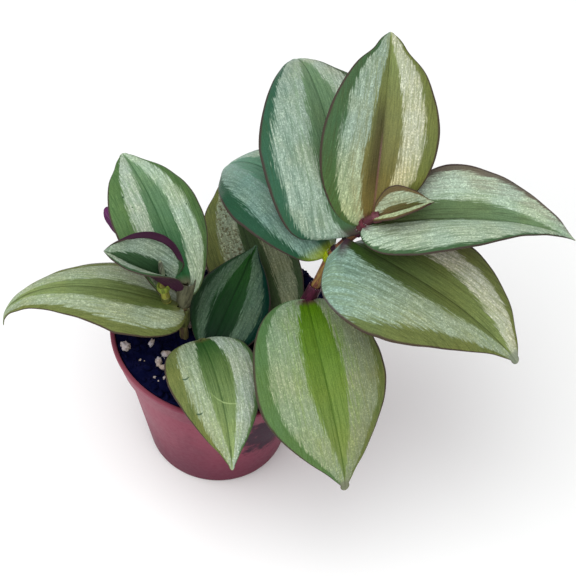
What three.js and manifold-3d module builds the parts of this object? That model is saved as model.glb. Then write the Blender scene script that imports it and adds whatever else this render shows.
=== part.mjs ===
// Potted tradescantia: a small plastic nursery pot of soil with three rooted
// shoots, their striped leaves and the sheaths that clasp the stems.
// Millimetres, +Z up. The origin is the centre of the pot's flat underside,
// and the shoots lean over the rim towards -X, +X and -Y.

import * as THREE from 'three';
import { mergeVertices } from 'three/addons/utils/BufferGeometryUtils.js';
import Module from 'manifold-3d';

const wasm = await Module();
wasm.setup();

// Driving dimensions of the pot
const POT_HEIGHT = 44;
const RIM_RADIUS = 27.5;
const RIM_LIP = 1.2;
const RIM_ROUNDING = 0.3;
const COLLAR_HEIGHT = 7.2;
const COLLAR_TOP_RADIUS = 27.2;
const COLLAR_FOOT_RADIUS = 25.8;
const COLLAR_STEP = 0.6;
const BODY_TOP_RADIUS = 24.5;
const BASE_RADIUS = 17.7;
const BASE_ROUNDING = 1.2;
const POT_WALL = 0.9;
const POT_FLOOR = 1.4;
const FLOOR_ROUNDING = 0.6;
const DRAIN_HOLES = 5;
const DRAIN_RADIUS = 2.2;
const DRAIN_CIRCLE = 11;
const DRAIN_TURN = 0.3;
const DRAIN_SIDES = 12;
const POT_SIDES = 40;

// Driving dimensions of the soil
const SOIL_GAP = 0.5;
const SOIL_FOOT = 0.9;
const SOIL_LEVEL = 42.6;
const SOIL_RINGS = 9;
const SOIL_SIDES = 40;
const SOIL_FILLET = 1.1;
const LUMP_HEIGHT = 0.55;
const HEAP_HEIGHT = 3.6;
const HEAP_AT = new THREE.Vector2(17, 12);
const HEAP_REACH = 7;
const PERLITE_COUNT = 18;
const PERLITE_RADIUS = 1.05;
const PERLITE_RISE = 0.15;
const STEM_HOLE_GAP = 0.35;
const STEM_HOLE_DEPTH = 0.6;
const STEM_HOLE_STEP = 4;
const STEM_HOLE_ABOVE = 9;

// Driving dimensions of the shoots
const STEM_RADIUS = 1.2;
const TIP_RADIUS = 0.95;
const STEM_SIDES = 10;
const STEM_STEPS = 16;
const SHEATH_GAP = 0.3;
const SHEATH_WALL = 0.65;
const SHEATH_SIDES = 12;
const BLADE_THICKNESS = 0.8;
const BLADE_ROWS = 10;
const BLADE_COLUMNS = 3;
const BLADE_ROOT = 1.5;
const BLADE_TIP = 0.3;
const ROOT_REACH = 14;
const SLIM_REACH = 6;
const BASE_ROUNDNESS = 2.2;
const ROOT_IN_SHEATH = 0.65;

const COLLAR_FOOT = POT_HEIGHT - COLLAR_HEIGHT;

const COLOURS = {
  pot: 0x94505c,
  soil: 0x15161c,
  stem: 0x6f6a34,
  leaf: 0x6f9a5c,
};

// Each shoot is a smooth line through the points where its leaves sit
const SHOOTS = {
  stem_right: [
    [14.2, -1.6, 32], [14.9, -1.4, 41], [17.1, -0.8, 49.5], [20, 0, 57.5], [22.2, 0.5, 66.5],
    [24, 1.0, 73.2], [25.7, 1.6, 75.9], [27.6, 2.4, 78.3], [29.4, 3.0, 80.4], [30.8, 3.5, 82.8],
    [31.9, 3.0, 86.6],
  ],
  stem_left: [[-8.5, -4.4, 30], [-8.9, -4.2, 42], [-9.5, -4, 50.4], [-9.4, -3.2, 56], [-8.8, -2.2, 64]],
  stem_left_side: [[-13.2, -3.9, 55.4], [-13.7, -4.2, 58.5], [-14.1, -4.4, 61.6]],
  stem_middle: [[-3.8, -7.9, 31], [-3.6, -8.6, 41], [-3.8, -9.4, 46.2], [-4, -10.2, 49]],
};

// A leaf's own measures: the height where it leaves its stem and the side it
// leaves on, the two ends of its sheath from there along the stem, the compass
// heading and the climb of its midrib, its length and width, how it folds
// along the midrib, how its halves cup, and its outline.
// Angles are in degrees, counted from +X towards +Y.
const LEAVES = {
  leaf_right_front: {
    stem: 'stem_right', height: 58.4, side: -110, sheath: [-2.4, 4.4],
    heading: -77, sway: 18, rise: 8, arch: 80, length: 48.5, width: 30,
    fold: 14, cup: 35, widest: 0.43, tip: [1.75, 1.3], base: 0.42,
  },
  leaf_right_low: {
    stem: 'stem_right', height: 75.1, side: -95, sheath: [-0.7, 0.6],
    heading: -11, sway: -16, rise: 4, arch: 42, length: 50.5, width: 31,
    fold: 14, cup: 38, widest: 0.37, tip: [1.8, 1.05], base: 0.3, slim: [1, 0],
  },
  leaf_right_long: {
    stem: 'stem_right', height: 80.3, side: -10, sheath: [-0.6, 0.7],
    heading: 11, sway: -4, rise: 23, arch: 50, length: 52, width: 26.5,
    fold: 24, foldTip: 50, cup: 32, widest: 0.4, tip: [1.6, 1.15], slim: [1, 0],
  },
  leaf_right_top: {
    stem: 'stem_right', height: 82.7, side: 80, sheath: [-0.6, 0.7],
    heading: 81.5, sway: 12, rise: 55, arch: 30, length: 42.5, width: 25.5,
    fold: 20, foldTip: 38, cup: 35, widest: 0.42, tip: [1.9, 0.85], slim: [0, 0.4], roll: -11,
  },
  leaf_right_back: {
    stem: 'stem_right', height: 77.9, side: 104, sheath: [-0.5, 0.6],
    heading: 112.5, sway: -7, rise: 65, arch: 112, length: 60, width: 34.5,
    fold: 18, cup: 35, widest: 0.36, tip: [1.45, 1.3], base: 0.26, slim: [0, 1],
  },
  leaf_right_rear: {
    stem: 'stem_right', height: 72.9, side: 95, sheath: [-1.2, 0.9],
    heading: 133, sway: 6, rise: 48, arch: 110, length: 45, width: 27,
    fold: 15, cup: 35, widest: 0.42, tip: [1.75, 0.9], base: 0.4,
  },
  leaf_right_young: {
    stem: 'stem_right', height: 86, side: -10, sheath: [-0.5, 0.8],
    heading: 10, sway: 0, rise: 24, arch: 10, length: 13.5, width: 9,
    fold: 40, cup: 10, widest: 0.42,
  },
  leaf_middle_rear: {
    stem: 'stem_right', height: 46.2, side: 180, sheath: [-1, 1.2],
    heading: 122, sway: -14, rise: 22, arch: 14, length: 43, width: 23.5,
    fold: 10, cup: 35, widest: 0.45, tip: [2, 0.8],
  },
  leaf_left_tall: {
    stem: 'stem_left', height: 63, side: 150, sheath: [-8.4, 0.5], flare: 0.8,
    heading: 121.5, sway: 4, rise: 50, arch: 56, length: 34, width: 22.3,
    fold: 15, cup: 35, widest: 0.42, tip: [2, 0.85],
  },
  leaf_left_long: {
    stem: 'stem_left', height: 53.4, side: 145, sheath: [-5, 0.6],
    heading: 182, sway: 5, rise: 18, arch: 104, late: 2.2, length: 50, width: 22.5,
    fold: 8, cup: 40, widest: 0.28, tip: [1.05, 1.15], base: 0.4, slim: [0, 0.4],
  },
  leaf_left_side: {
    stem: 'stem_left_side', cap: true, sheath: [-1.2, 0.4],
    heading: 188, rise: 47, arch: 12, length: 18.7, width: 18,
    fold: 62, foldTip: 50, cup: 0, widest: 0.45, tip: [2, 0.9],
  },
  leaf_left_under: {
    stem: 'stem_left_side', height: 57.8, side: 115, sheath: [-0.9, 0.7],
    heading: 137, rise: 32, arch: 16, roll: -30, twist: -65, length: 24.3, width: 10,
    fold: 10, cup: 20, widest: 0.5, tip: [3, 0.5], slim: [0.7, 0.7],
  },
  leaf_middle_dark: {
    stem: 'stem_middle', height: 45.3, side: 30, sheath: [-1, 0.5],
    heading: 68, sway: 3, rise: 34, arch: 12, length: 27.5, width: 20.5,
    fold: 10, cup: 35, widest: 0.4, base: 0.5, slim: [0.25, 0],
  },
  leaf_front_small: {
    stem: 'stem_middle', cap: true, sheath: [-1.6, 0.4],
    heading: -66, sway: -8, rise: 24, arch: 78, length: 33.5, width: 22.5,
    fold: 10, cup: 35, widest: 0.3, tip: [1.8, 1.1], base: 0.3,
  },
};

// The rolled leaf that the side shoot's own leaf holds
const BUD = { from: [-15, -4.3, 67.2], to: [-16.1, -3.8, 72.8], radius: 0.65 };
const BUD_PROFILE = [[0, 0.45], [0.2, 0.85], [0.45, 1], [0.7, 0.8], [0.9, 0.4], [1, 0.15]];

const DEFAULTS = {
  sway: 0, late: 1, roll: 0, twist: 0, fold: 15, cup: 35,
  widest: 0.42, tip: [1.75, 1.15], base: 0.5, flare: 0, slim: [0, 0],
};

const radians = THREE.MathUtils.degToRad;
const UP = new THREE.Vector3(0, 0, 1);

// Small seeded generator, so that every build draws the same lumps and grains
function seeded(seed) {
  let state = seed;
  return () => {
    state = (state * 1664525 + 1013904223) % 4294967296;
    return state / 4294967296;
  };
}

function geometryOf(points, faces) {
  const geometry = new THREE.BufferGeometry();
  geometry.setAttribute('position', new THREE.Float32BufferAttribute(points.flat(), 3));
  geometry.setIndex(faces.flat());
  return geometry;
}

function solidOf(geometry) {
  const bare = new THREE.BufferGeometry();
  bare.setAttribute('position', geometry.getAttribute('position'));
  if (geometry.index) bare.setIndex(geometry.index);
  const welded = mergeVertices(bare, 1e-4);
  return new wasm.Manifold(new wasm.Mesh({
    numProp: 3,
    vertProperties: new Float32Array(welded.getAttribute('position').array),
    triVerts: new Uint32Array(welded.index.array),
  }));
}

function geometryFrom(solid) {
  const mesh = solid.getMesh();
  const geometry = new THREE.BufferGeometry();
  geometry.setAttribute('position', new THREE.BufferAttribute(new Float32Array(mesh.vertProperties), 3));
  geometry.setIndex(new THREE.BufferAttribute(new Uint32Array(mesh.triVerts), 1));
  return geometry;
}

// Closed skin over rows of points that each go once round the same axis
function skinRings(rings) {
  const points = [];
  const faces = [];
  const sides = rings[0].length;
  rings.forEach((ring) => ring.forEach((point) => points.push(point.toArray())));
  for (let row = 0; row < rings.length - 1; row++) {
    for (let i = 0; i < sides; i++) {
      const a = row * sides + i;
      const b = row * sides + ((i + 1) % sides);
      faces.push([a, b, b + sides], [a, b + sides, a + sides]);
    }
  }
  const capEnd = (row, flip) => {
    const centre = new THREE.Vector3();
    rings[row].forEach((point) => centre.addScaledVector(point, 1 / sides));
    const hub = points.push(centre.toArray()) - 1;
    for (let i = 0; i < sides; i++) {
      const a = row * sides + i;
      const b = row * sides + ((i + 1) % sides);
      faces.push(flip ? [hub, b, a] : [hub, a, b]);
    }
  };
  capEnd(0, true);
  capEnd(rings.length - 1, false);
  return geometryOf(points, faces);
}

function ringAt(centre, axis, radius, sides) {
  const across = new THREE.Vector3(0, 1, 0).cross(axis).normalize();
  const other = new THREE.Vector3().crossVectors(axis, across);
  return Array.from({ length: sides }, (_, i) => {
    const turn = (i / sides) * Math.PI * 2;
    return centre.clone()
      .addScaledVector(across, Math.cos(turn) * radius)
      .addScaledVector(other, Math.sin(turn) * radius);
  });
}

// Stems
function shootCurve(shoot) {
  const points = shoot.map((p) => new THREE.Vector3(...p));
  return new THREE.CatmullRomCurve3(points, false, 'centripetal');
}

function shareAtHeight(curve, height) {
  let low = 0;
  let high = 1;
  for (let i = 0; i < 40; i++) {
    const middle = (low + high) / 2;
    if (curve.getPointAt(middle).z < height) low = middle;
    else high = middle;
  }
  return (low + high) / 2;
}

function stemRadiusAt(share) {
  return STEM_RADIUS + (TIP_RADIUS - STEM_RADIUS) * share;
}

function stemGeometry(name) {
  const curve = shootCurve(SHOOTS[name]);
  const rings = Array.from({ length: STEM_STEPS + 1 }, (_, i) => {
    const share = i / STEM_STEPS;
    return ringAt(curve.getPointAt(share), curve.getTangentAt(share), stemRadiusAt(share), STEM_SIDES);
  });
  return skinRings(rings);
}

// Leaves: half-width share along the blade, from the base to the tip
function outline(s, leaf) {
  if (s < leaf.widest) {
    const back = (leaf.widest - s) / leaf.widest;
    return (1 - back ** BASE_ROUNDNESS) ** leaf.base;
  }
  const on = (s - leaf.widest) / (1 - leaf.widest);
  return Math.max(0, 1 - on ** leaf.tip[0]) ** leaf.tip[1];
}

function bladeAxes(s, leaf) {
  const heading = radians(leaf.heading + leaf.sway * s);
  const pitch = radians(leaf.rise - leaf.arch * s ** leaf.late);
  const roll = radians(leaf.roll + leaf.twist * s);
  const along = new THREE.Vector3(
    Math.cos(pitch) * Math.cos(heading),
    Math.cos(pitch) * Math.sin(heading),
    Math.sin(pitch),
  );
  const level = new THREE.Vector3(Math.sin(heading), -Math.cos(heading), 0);
  const normal = new THREE.Vector3().crossVectors(level, along);
  const side = level.clone().multiplyScalar(Math.cos(roll)).addScaledVector(normal, Math.sin(roll));
  const face = normal.clone().multiplyScalar(Math.cos(roll)).addScaledVector(level, -Math.sin(roll));
  return { along, side, face };
}

// Rows of points on the blade's middle surface, closer together at both ends
function bladeRows(leaf, start) {
  const rows = [];
  const centre = start.clone();
  const fine = 12;
  let before = 0;
  for (let row = 0; row <= BLADE_ROWS; row++) {
    const s = (1 - Math.cos((Math.PI * row) / BLADE_ROWS)) / 2;
    for (let step = 0; step < fine; step++) {
      const middle = before + ((s - before) * (step + 0.5)) / fine;
      centre.addScaledVector(bladeAxes(middle, leaf).along, (leaf.length * (s - before)) / fine);
    }
    before = s;
    const { side, face } = bladeAxes(s, leaf);
    const foldEnd = leaf.foldTip ?? leaf.fold;
    const fold = leaf.fold + (foldEnd - leaf.fold) * s;
    const half = (sign) => {
      const slim = 1 - leaf.slim[sign < 0 ? 0 : 1] * (1 - s) ** SLIM_REACH;
      return (leaf.width / 2) * outline(s, leaf) * slim + BLADE_ROOT * (1 - s) ** ROOT_REACH + BLADE_TIP;
    };
    const across = [];
    let out = 0;
    let up = 0;
    for (let column = 0; column <= BLADE_COLUMNS; column++) {
      across.push([out, up]);
      const slope = radians(fold - leaf.cup * ((column + 0.5) / BLADE_COLUMNS));
      out += Math.cos(slope) / BLADE_COLUMNS;
      up += Math.sin(slope) / BLADE_COLUMNS;
    }
    const place = (sign, [x, z]) => centre.clone()
      .addScaledVector(side, sign * half(sign) * x)
      .addScaledVector(face, half(sign) * z);
    const left = across.slice(1).reverse().map((pair) => place(-1, pair));
    const right = across.map((pair) => place(1, pair));
    rows.push([...left, ...right]);
  }
  return rows;
}

// Blade of even thickness over the rows, with like triangles on both faces
function bladeGeometry(leaf, start) {
  const rows = bladeRows(leaf, start);
  const columns = rows[0].length;
  const within = (value, count) => Math.min(Math.max(value, 0), count - 1);
  const pick = (r, c) => rows[within(r, rows.length)][within(c, columns)];
  const top = [];
  const bottom = [];
  rows.forEach((line, r) => line.forEach((point, c) => {
    const down = pick(r + 1, c).clone().sub(pick(r - 1, c));
    const over = pick(r, c + 1).clone().sub(pick(r, c - 1));
    const normal = over.cross(down).normalize();
    top.push(point.clone().addScaledVector(normal, BLADE_THICKNESS / 2).toArray());
    bottom.push(point.clone().addScaledVector(normal, -BLADE_THICKNESS / 2).toArray());
  }));
  const total = top.length;
  const faces = [];
  for (let r = 0; r < rows.length - 1; r++) {
    for (let c = 0; c < columns - 1; c++) {
      const a = r * columns + c;
      const b = a + 1;
      const d = a + columns;
      const e = d + 1;
      const right = c >= (columns - 1) / 2;
      const pair = right ? [[a, b, e], [a, e, d]] : [[a, b, d], [b, e, d]];
      pair.forEach(([i, j, k]) => faces.push([i, j, k], [total + i, total + k, total + j]));
    }
  }
  const wall = (i, j) => faces.push([j, i, total + i], [j, total + i, total + j]);
  const last = rows.length - 1;
  for (let c = 0; c < columns - 1; c++) {
    wall(c, c + 1);
    wall(last * columns + c + 1, last * columns + c);
  }
  for (let r = 0; r < last; r++) {
    wall((r + 1) * columns, r * columns);
    wall(r * columns + columns - 1, (r + 1) * columns + columns - 1);
  }
  return geometryOf([...top, ...bottom], faces);
}

// Sheath that clasps the stem between two distances from the leaf's place
function sheathSolid(leaf, curve, share, radius) {
  const length = curve.getLength();
  const [from, to] = leaf.sheath;
  const rings = [from, (from + to) / 2, to].map((distance, step) => {
    const at = Math.min(1, share + distance / length);
    const over = Math.max(0, share * length + distance - length);
    const centre = curve.getPointAt(at).addScaledVector(curve.getTangentAt(at), over);
    const grow = SHEATH_GAP + SHEATH_WALL + (step / 2) * leaf.flare;
    return ringAt(centre, curve.getTangentAt(at), radius + grow, SHEATH_SIDES);
  });
  return solidOf(skinRings(rings));
}

// Room that the stem needs in its leaf: a bore a gap wider than the stem
function stemBore(curve, leaf, share) {
  const length = curve.getLength();
  const [from, to] = leaf.sheath;
  const end = length * (1 - share) + SHEATH_GAP;
  const stops = [from - 2, from, (from + to) / 2, to, to + 2].map((distance) => Math.min(distance, end));
  const rings = stops.filter((distance, i) => i === 0 || distance > stops[i - 1] + 0.05).map((distance) => {
    const at = Math.min(1, Math.max(0, share + distance / length));
    const over = Math.max(0, share * length + distance - length);
    const centre = curve.getPointAt(at).addScaledVector(curve.getTangentAt(at), over);
    const flare = Math.max(0, distance - from) / (to - from) * leaf.flare;
    return ringAt(centre, curve.getTangentAt(at), stemRadiusAt(at) + SHEATH_GAP + flare, SHEATH_SIDES);
  });
  return solidOf(skinRings(rings));
}

// Where a blade starts: beside its sheath, or over the stem's end as a cap
function bladeStart(leaf, curve, share, radius) {
  const axis = curve.getTangentAt(share);
  const place = curve.getPointAt(share);
  if (leaf.cap) {
    const { along } = bladeAxes(0, leaf);
    return place.addScaledVector(axis, SHEATH_GAP + BLADE_THICKNESS / 2).addScaledVector(along, -radius);
  }
  const outward = new THREE.Vector3(Math.cos(radians(leaf.side)), Math.sin(radians(leaf.side)), 0);
  outward.addScaledVector(axis, -outward.dot(axis)).normalize();
  return place.addScaledVector(outward, radius + SHEATH_GAP + SHEATH_WALL * ROOT_IN_SHEATH + leaf.flare);
}

// Young leaf, still rolled up: a slim spindle between two points
function budGeometry({ from, to, radius }) {
  const foot = new THREE.Vector3(...from);
  const axis = new THREE.Vector3(...to).sub(foot);
  const rings = BUD_PROFILE.map(([share, wide]) => ringAt(
    foot.clone().addScaledVector(axis, share), axis.clone().normalize(), radius * wide, STEM_SIDES,
  ));
  return skinRings(rings);
}

function leafGeometry(given) {
  const leaf = { ...DEFAULTS, ...given };
  const curve = shootCurve(SHOOTS[leaf.stem]);
  const share = leaf.cap ? 1 : shareAtHeight(curve, leaf.height);
  const radius = stemRadiusAt(share);
  const blade = solidOf(bladeGeometry(leaf, bladeStart(leaf, curve, share, radius)));
  const sheath = sheathSolid(leaf, curve, share, radius);
  return geometryFrom(blade.add(sheath).subtract(stemBore(curve, leaf, share)));
}

// Pot: a tapered wall with a stepped collar and a plain lip, turned round Z
function potGeometry() {
  const profile = [
    [0, 0],
    [BASE_RADIUS - BASE_ROUNDING, 0],
    [BASE_RADIUS - BASE_ROUNDING * 0.3, BASE_ROUNDING * 0.3],
    [BASE_RADIUS, BASE_ROUNDING],
    [BODY_TOP_RADIUS, COLLAR_FOOT - COLLAR_STEP],
    [COLLAR_FOOT_RADIUS, COLLAR_FOOT],
    [COLLAR_TOP_RADIUS, POT_HEIGHT - RIM_LIP - RIM_ROUNDING],
    [RIM_RADIUS, POT_HEIGHT - RIM_LIP],
    [RIM_RADIUS, POT_HEIGHT - RIM_ROUNDING],
    [RIM_RADIUS - RIM_ROUNDING, POT_HEIGHT],
    [RIM_RADIUS - POT_WALL, POT_HEIGHT],
    [COLLAR_TOP_RADIUS - POT_WALL, POT_HEIGHT - RIM_LIP],
    [COLLAR_FOOT_RADIUS - POT_WALL, COLLAR_FOOT + COLLAR_STEP],
    [BODY_TOP_RADIUS - POT_WALL, COLLAR_FOOT - COLLAR_STEP / 2],
    [BASE_RADIUS - POT_WALL, POT_FLOOR + FLOOR_ROUNDING],
    [BASE_RADIUS - FLOOR_ROUNDING - POT_WALL, POT_FLOOR],
    [0, POT_FLOOR],
  ].map(([r, z]) => new THREE.Vector2(r, z));
  const turned = new THREE.LatheGeometry(profile, POT_SIDES);
  turned.rotateX(Math.PI / 2);
  let pot = solidOf(turned);
  for (let i = 0; i < DRAIN_HOLES; i++) {
    const turn = (i / DRAIN_HOLES) * Math.PI * 2 + DRAIN_TURN;
    const drill = new THREE.CylinderGeometry(DRAIN_RADIUS, DRAIN_RADIUS, POT_FLOOR * 4, DRAIN_SIDES);
    drill.rotateX(Math.PI / 2);
    drill.translate(Math.cos(turn) * DRAIN_CIRCLE, Math.sin(turn) * DRAIN_CIRCLE, 0);
    pot = pot.subtract(solidOf(drill));
  }
  return geometryFrom(pot);
}

// Inside radius of the pot at a height
function insideRadius(z) {
  if (z < COLLAR_FOOT) {
    const share = (z - POT_FLOOR) / (COLLAR_FOOT - POT_FLOOR);
    return BASE_RADIUS - POT_WALL + (BODY_TOP_RADIUS - BASE_RADIUS) * share;
  }
  const share = (z - COLLAR_FOOT - COLLAR_STEP) / (COLLAR_HEIGHT - COLLAR_STEP - RIM_LIP);
  return COLLAR_FOOT_RADIUS - POT_WALL + (COLLAR_TOP_RADIUS - COLLAR_FOOT_RADIUS) * Math.min(1, share);
}

// Height of the lumpy soil: a few crossed waves, and a heap at the back right
function soilHeight(x, y) {
  const waves = Math.sin(x * 0.9 + y * 0.5) * Math.cos(y * 0.75 - x * 0.3)
    + 0.7 * Math.sin(x * 0.35 - y * 1.3 + 1) * Math.sin(y * 0.4 + 2);
  const away = Math.hypot(x - HEAP_AT.x, y - HEAP_AT.y) / HEAP_REACH;
  return SOIL_LEVEL + LUMP_HEIGHT * waves + HEAP_HEIGHT * Math.exp(-away * away);
}

function soilGeometry() {
  const floor = POT_FLOOR + SOIL_GAP;
  const shoulder = SOIL_LEVEL - SOIL_FILLET;
  const steps = [
    [floor, insideRadius(floor) - SOIL_GAP - SOIL_FOOT],
    [floor + SOIL_FOOT, insideRadius(floor + SOIL_FOOT) - SOIL_GAP],
    [COLLAR_FOOT - SOIL_FOOT, insideRadius(COLLAR_FOOT - SOIL_FOOT) - SOIL_GAP],
    [COLLAR_FOOT + SOIL_FOOT * 2, insideRadius(COLLAR_FOOT + SOIL_FOOT * 2) - SOIL_GAP],
    [shoulder, insideRadius(shoulder) - SOIL_GAP],
  ];
  const circle = (radius, height) => Array.from({ length: SOIL_SIDES }, (_, i) => {
    const turn = (i / SOIL_SIDES) * Math.PI * 2;
    const x = Math.cos(turn) * radius;
    const y = Math.sin(turn) * radius;
    return new THREE.Vector3(x, y, height ?? soilHeight(x, y));
  });
  const rings = steps.map(([z, radius]) => circle(radius, z));
  const edge = insideRadius(shoulder) - SOIL_GAP - 0.3;
  for (let ring = 0; ring < SOIL_RINGS; ring++) {
    rings.push(circle(edge * (1 - ring / SOIL_RINGS)));
  }
  return skinRings(rings);
}

// Soil with its perlite grains standing out of it and a hole for each stem
function soilNode() {
  const draw = seeded(11);
  let soil = solidOf(soilGeometry());
  for (let i = 0; i < PERLITE_COUNT; i++) {
    const turn = draw() * Math.PI * 2;
    const away = (insideRadius(SOIL_LEVEL) - 3) * Math.sqrt(draw());
    const x = Math.cos(turn) * away;
    const y = Math.sin(turn) * away;
    const grain = new THREE.IcosahedronGeometry(PERLITE_RADIUS * (0.7 + 0.5 * draw()), 0);
    grain.rotateX(draw() * 3);
    grain.rotateZ(draw() * 3);
    grain.translate(x, y, soilHeight(x, y) + PERLITE_RISE);
    soil = soil.add(solidOf(grain));
  }
  const rooted = Object.values(SHOOTS).filter((shoot) => shoot[0][2] < SOIL_LEVEL);
  rooted.forEach((shoot) => {
    const curve = shootCurve(shoot);
    const foot = curve.getPointAt(0);
    const axis = curve.getTangentAt(0);
    const rings = [];
    const top = SOIL_LEVEL + STEM_HOLE_ABOVE;
    for (let height = foot.z - STEM_HOLE_DEPTH; height < top; height += STEM_HOLE_STEP) {
      const share = shareAtHeight(curve, height);
      const centre = height < foot.z
        ? foot.clone().addScaledVector(axis, height - foot.z)
        : curve.getPointAt(share);
      const tangent = curve.getTangentAt(share);
      rings.push(ringAt(centre, tangent, stemRadiusAt(share) + STEM_HOLE_GAP, STEM_SIDES));
    }
    soil = soil.subtract(solidOf(skinRings(rings)));
  });
  return geometryFrom(soil);
}

function part(name, geometry, colour, roughness) {
  const flat = geometry.index ? geometry.toNonIndexed() : geometry;
  flat.computeVertexNormals();
  const material = new THREE.MeshStandardMaterial({ color: colour, roughness, metalness: 0 });
  const mesh = new THREE.Mesh(flat, material);
  mesh.name = name;
  return mesh;
}

const plant = new THREE.Group();
plant.add(part('pot', potGeometry(), COLOURS.pot, 0.55));
plant.add(part('soil', soilNode(), COLOURS.soil, 0.95));

Object.keys(SHOOTS).forEach((name) => plant.add(part(name, stemGeometry(name), COLOURS.stem, 0.5)));
Object.entries(LEAVES).forEach(([name, leaf]) => {
  plant.add(part(name, leafGeometry(leaf), COLOURS.leaf, 0.45));
});

plant.add(part('leaf_left_bud', budGeometry(BUD), COLOURS.leaf, 0.45));

export default plant;
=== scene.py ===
import math
import random
from types import SimpleNamespace

import bpy
import numpy as np
from mathutils import Matrix, Vector, noise


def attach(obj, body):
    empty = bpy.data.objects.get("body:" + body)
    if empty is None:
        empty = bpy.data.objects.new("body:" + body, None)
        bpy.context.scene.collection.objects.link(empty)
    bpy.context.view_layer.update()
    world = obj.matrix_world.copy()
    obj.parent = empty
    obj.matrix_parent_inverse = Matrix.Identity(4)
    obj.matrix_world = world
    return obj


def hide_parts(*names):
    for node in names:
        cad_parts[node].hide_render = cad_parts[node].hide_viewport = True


# Potted tradescantia: smooth pot, granular soil, striped leaves, fleshy stems.
# Shapes are worked out in millimetres and turned to metres when a mesh is made.

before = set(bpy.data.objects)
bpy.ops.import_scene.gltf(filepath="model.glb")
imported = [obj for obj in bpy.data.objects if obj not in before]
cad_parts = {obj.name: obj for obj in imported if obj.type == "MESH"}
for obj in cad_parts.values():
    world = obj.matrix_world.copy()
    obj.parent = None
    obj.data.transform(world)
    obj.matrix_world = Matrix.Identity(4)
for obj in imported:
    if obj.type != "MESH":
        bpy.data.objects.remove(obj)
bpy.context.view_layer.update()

MM = 0.001
FULL_TURN = 2 * math.pi

# Measures of the pot, the same as the solid's
POT_HEIGHT = 44
RIM_RADIUS = 27.5
RIM_LIP = 1.2
RIM_ROUNDING = 0.3
COLLAR_HEIGHT = 7.2
COLLAR_TOP_RADIUS = 27.2
COLLAR_FOOT_RADIUS = 25.8
COLLAR_STEP = 0.6
BODY_TOP_RADIUS = 24.5
BASE_RADIUS = 17.7
BASE_ROUNDING = 1.2
POT_WALL = 0.9
POT_FLOOR = 1.4
FLOOR_ROUNDING = 0.6
DRAIN_HOLES = 5
DRAIN_RADIUS = 2.2
DRAIN_CIRCLE = 11
DRAIN_TURN = 0.3
COLLAR_FOOT = POT_HEIGHT - COLLAR_HEIGHT

# Rounding of the pot's corners, and the middle of the painted leaf shadow on its front: x and z
CORNER_ROUNDING = 0.35
LEAF_SHADOW_AT = (15.5, 27)

# Measures of the soil
SOIL_LEVEL = 43.2
SOIL_GAP = 0.12
HEAP_HEIGHT = 3.6
HEAP_AT = (17, 12)
HEAP_REACH = 7
LUMP_HEIGHT = 0.33
RELIEF_HEIGHT = 0.45

# Crumbs strewn over the soil, with their clearance to a stem, and crumbs banked up
# behind the leaves at the right: turn round the pot, distances from its axis, top
CRUMBS = 1100
CRUMB_SIZES = (0.25, 0.32, 0.4, 0.5, 0.7, 0.9)
STEM_CLEARANCE = 1.9
BANK_CRUMBS = 420
BANK_TURN = 37
BANK_NEAR = 19.5
BANK_FAR = 25.2
BANK_TOP = 47.4

# Perlite grains seen at the left: place and size. More grains lie over the rest.
SEEN_GRAINS = (
    (-22.5, -9.5, 1.2), (-16.5, -7.5, 0.9), (-12.5, -10.5, 1), (-14, -13, 1), (-12.5, -14.5, 0.9),
    (-12, -17.5, 0.5), (-16.5, -14.5, 0.35), (-14.5, -17, 0.4), (-18.5, -12.5, 0.3),
)
MORE_GRAINS = 46
GRAIN_SIZES = (0.3, 0.5, 0.8, 1.1)
GRAIN_REACH = 24
GRAIN_LIMIT = 25.6

# Measures of stems and leaves
STEM_RADIUS = 1.2
TIP_RADIUS = 0.95
TIP_LENGTH = 0.22
SHEATH_GAP = 0.08
SHEATH_WALL = 0.55
ROOT_OFFSET = 0.72
BLADE_THICKNESS = 0.6
HAIRS = 22
HAIR_RADIUS = 0.02

# Section of a sheath: share of its length, share of its wall
SHEATH_SECTION = (
    (0, 0.15), (0, 0.55), (0.03, 0.9), (0.12, 1), (0.5, 1), (0.85, 0.95), (0.97, 0.8), (1, 0.5),
    (0.99, 0.2), (0.95, 0.05), (0.6, 0), (0.3, 0), (0.06, 0),
)

# How finely the meshes are made
POT_SIDES = 180
DRAIN_SIDES = 40
SOIL_SIDES = 180
SOIL_RINGS = 74
SPAN_STEPS = 60
AXIS_REACH = 0.4
STEM_SIDES = 32
STEM_STEP = 0.45
SHEATH_SIDES = 36
BLADE_ROWS = 96
BLADE_COLUMNS = 30
LINE_STEPS = 2000
BUD_ROWS = 28
BUD_SIDES = 24

SHOOTS = {
    "stem_right": [
        (14.2, -1.6, 32), (14.9, -1.4, 41), (17.1, -0.8, 49.5), (20, 0, 57.5), (22.2, 0.5, 66.5),
        (24, 1.0, 73.2), (25.7, 1.6, 75.9), (27.6, 2.4, 78.3), (29.4, 3.0, 80.4), (30.8, 3.5, 82.8),
        (31.9, 3.5, 84.4), (33.8, 3.7, 85.3),
    ],
    "stem_left": [(-8.5, -4.4, 30), (-8.9, -4.2, 42), (-9.5, -4, 50.4), (-9.4, -3.2, 56), (-8.9, -2.3, 63)],
    "stem_left_side": [
        (-10.8, -4, 52), (-12.4, -3.9, 53.6), (-13.2, -3.9, 55.4), (-13.7, -4.2, 58.5), (-14.2, -4.4, 62.4),
    ],
    "stem_middle": [(-3.8, -7.9, 31), (-3.6, -8.6, 41), (-3.8, -9.4, 46.2), (-4, -10.2, 49)],
}

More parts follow.
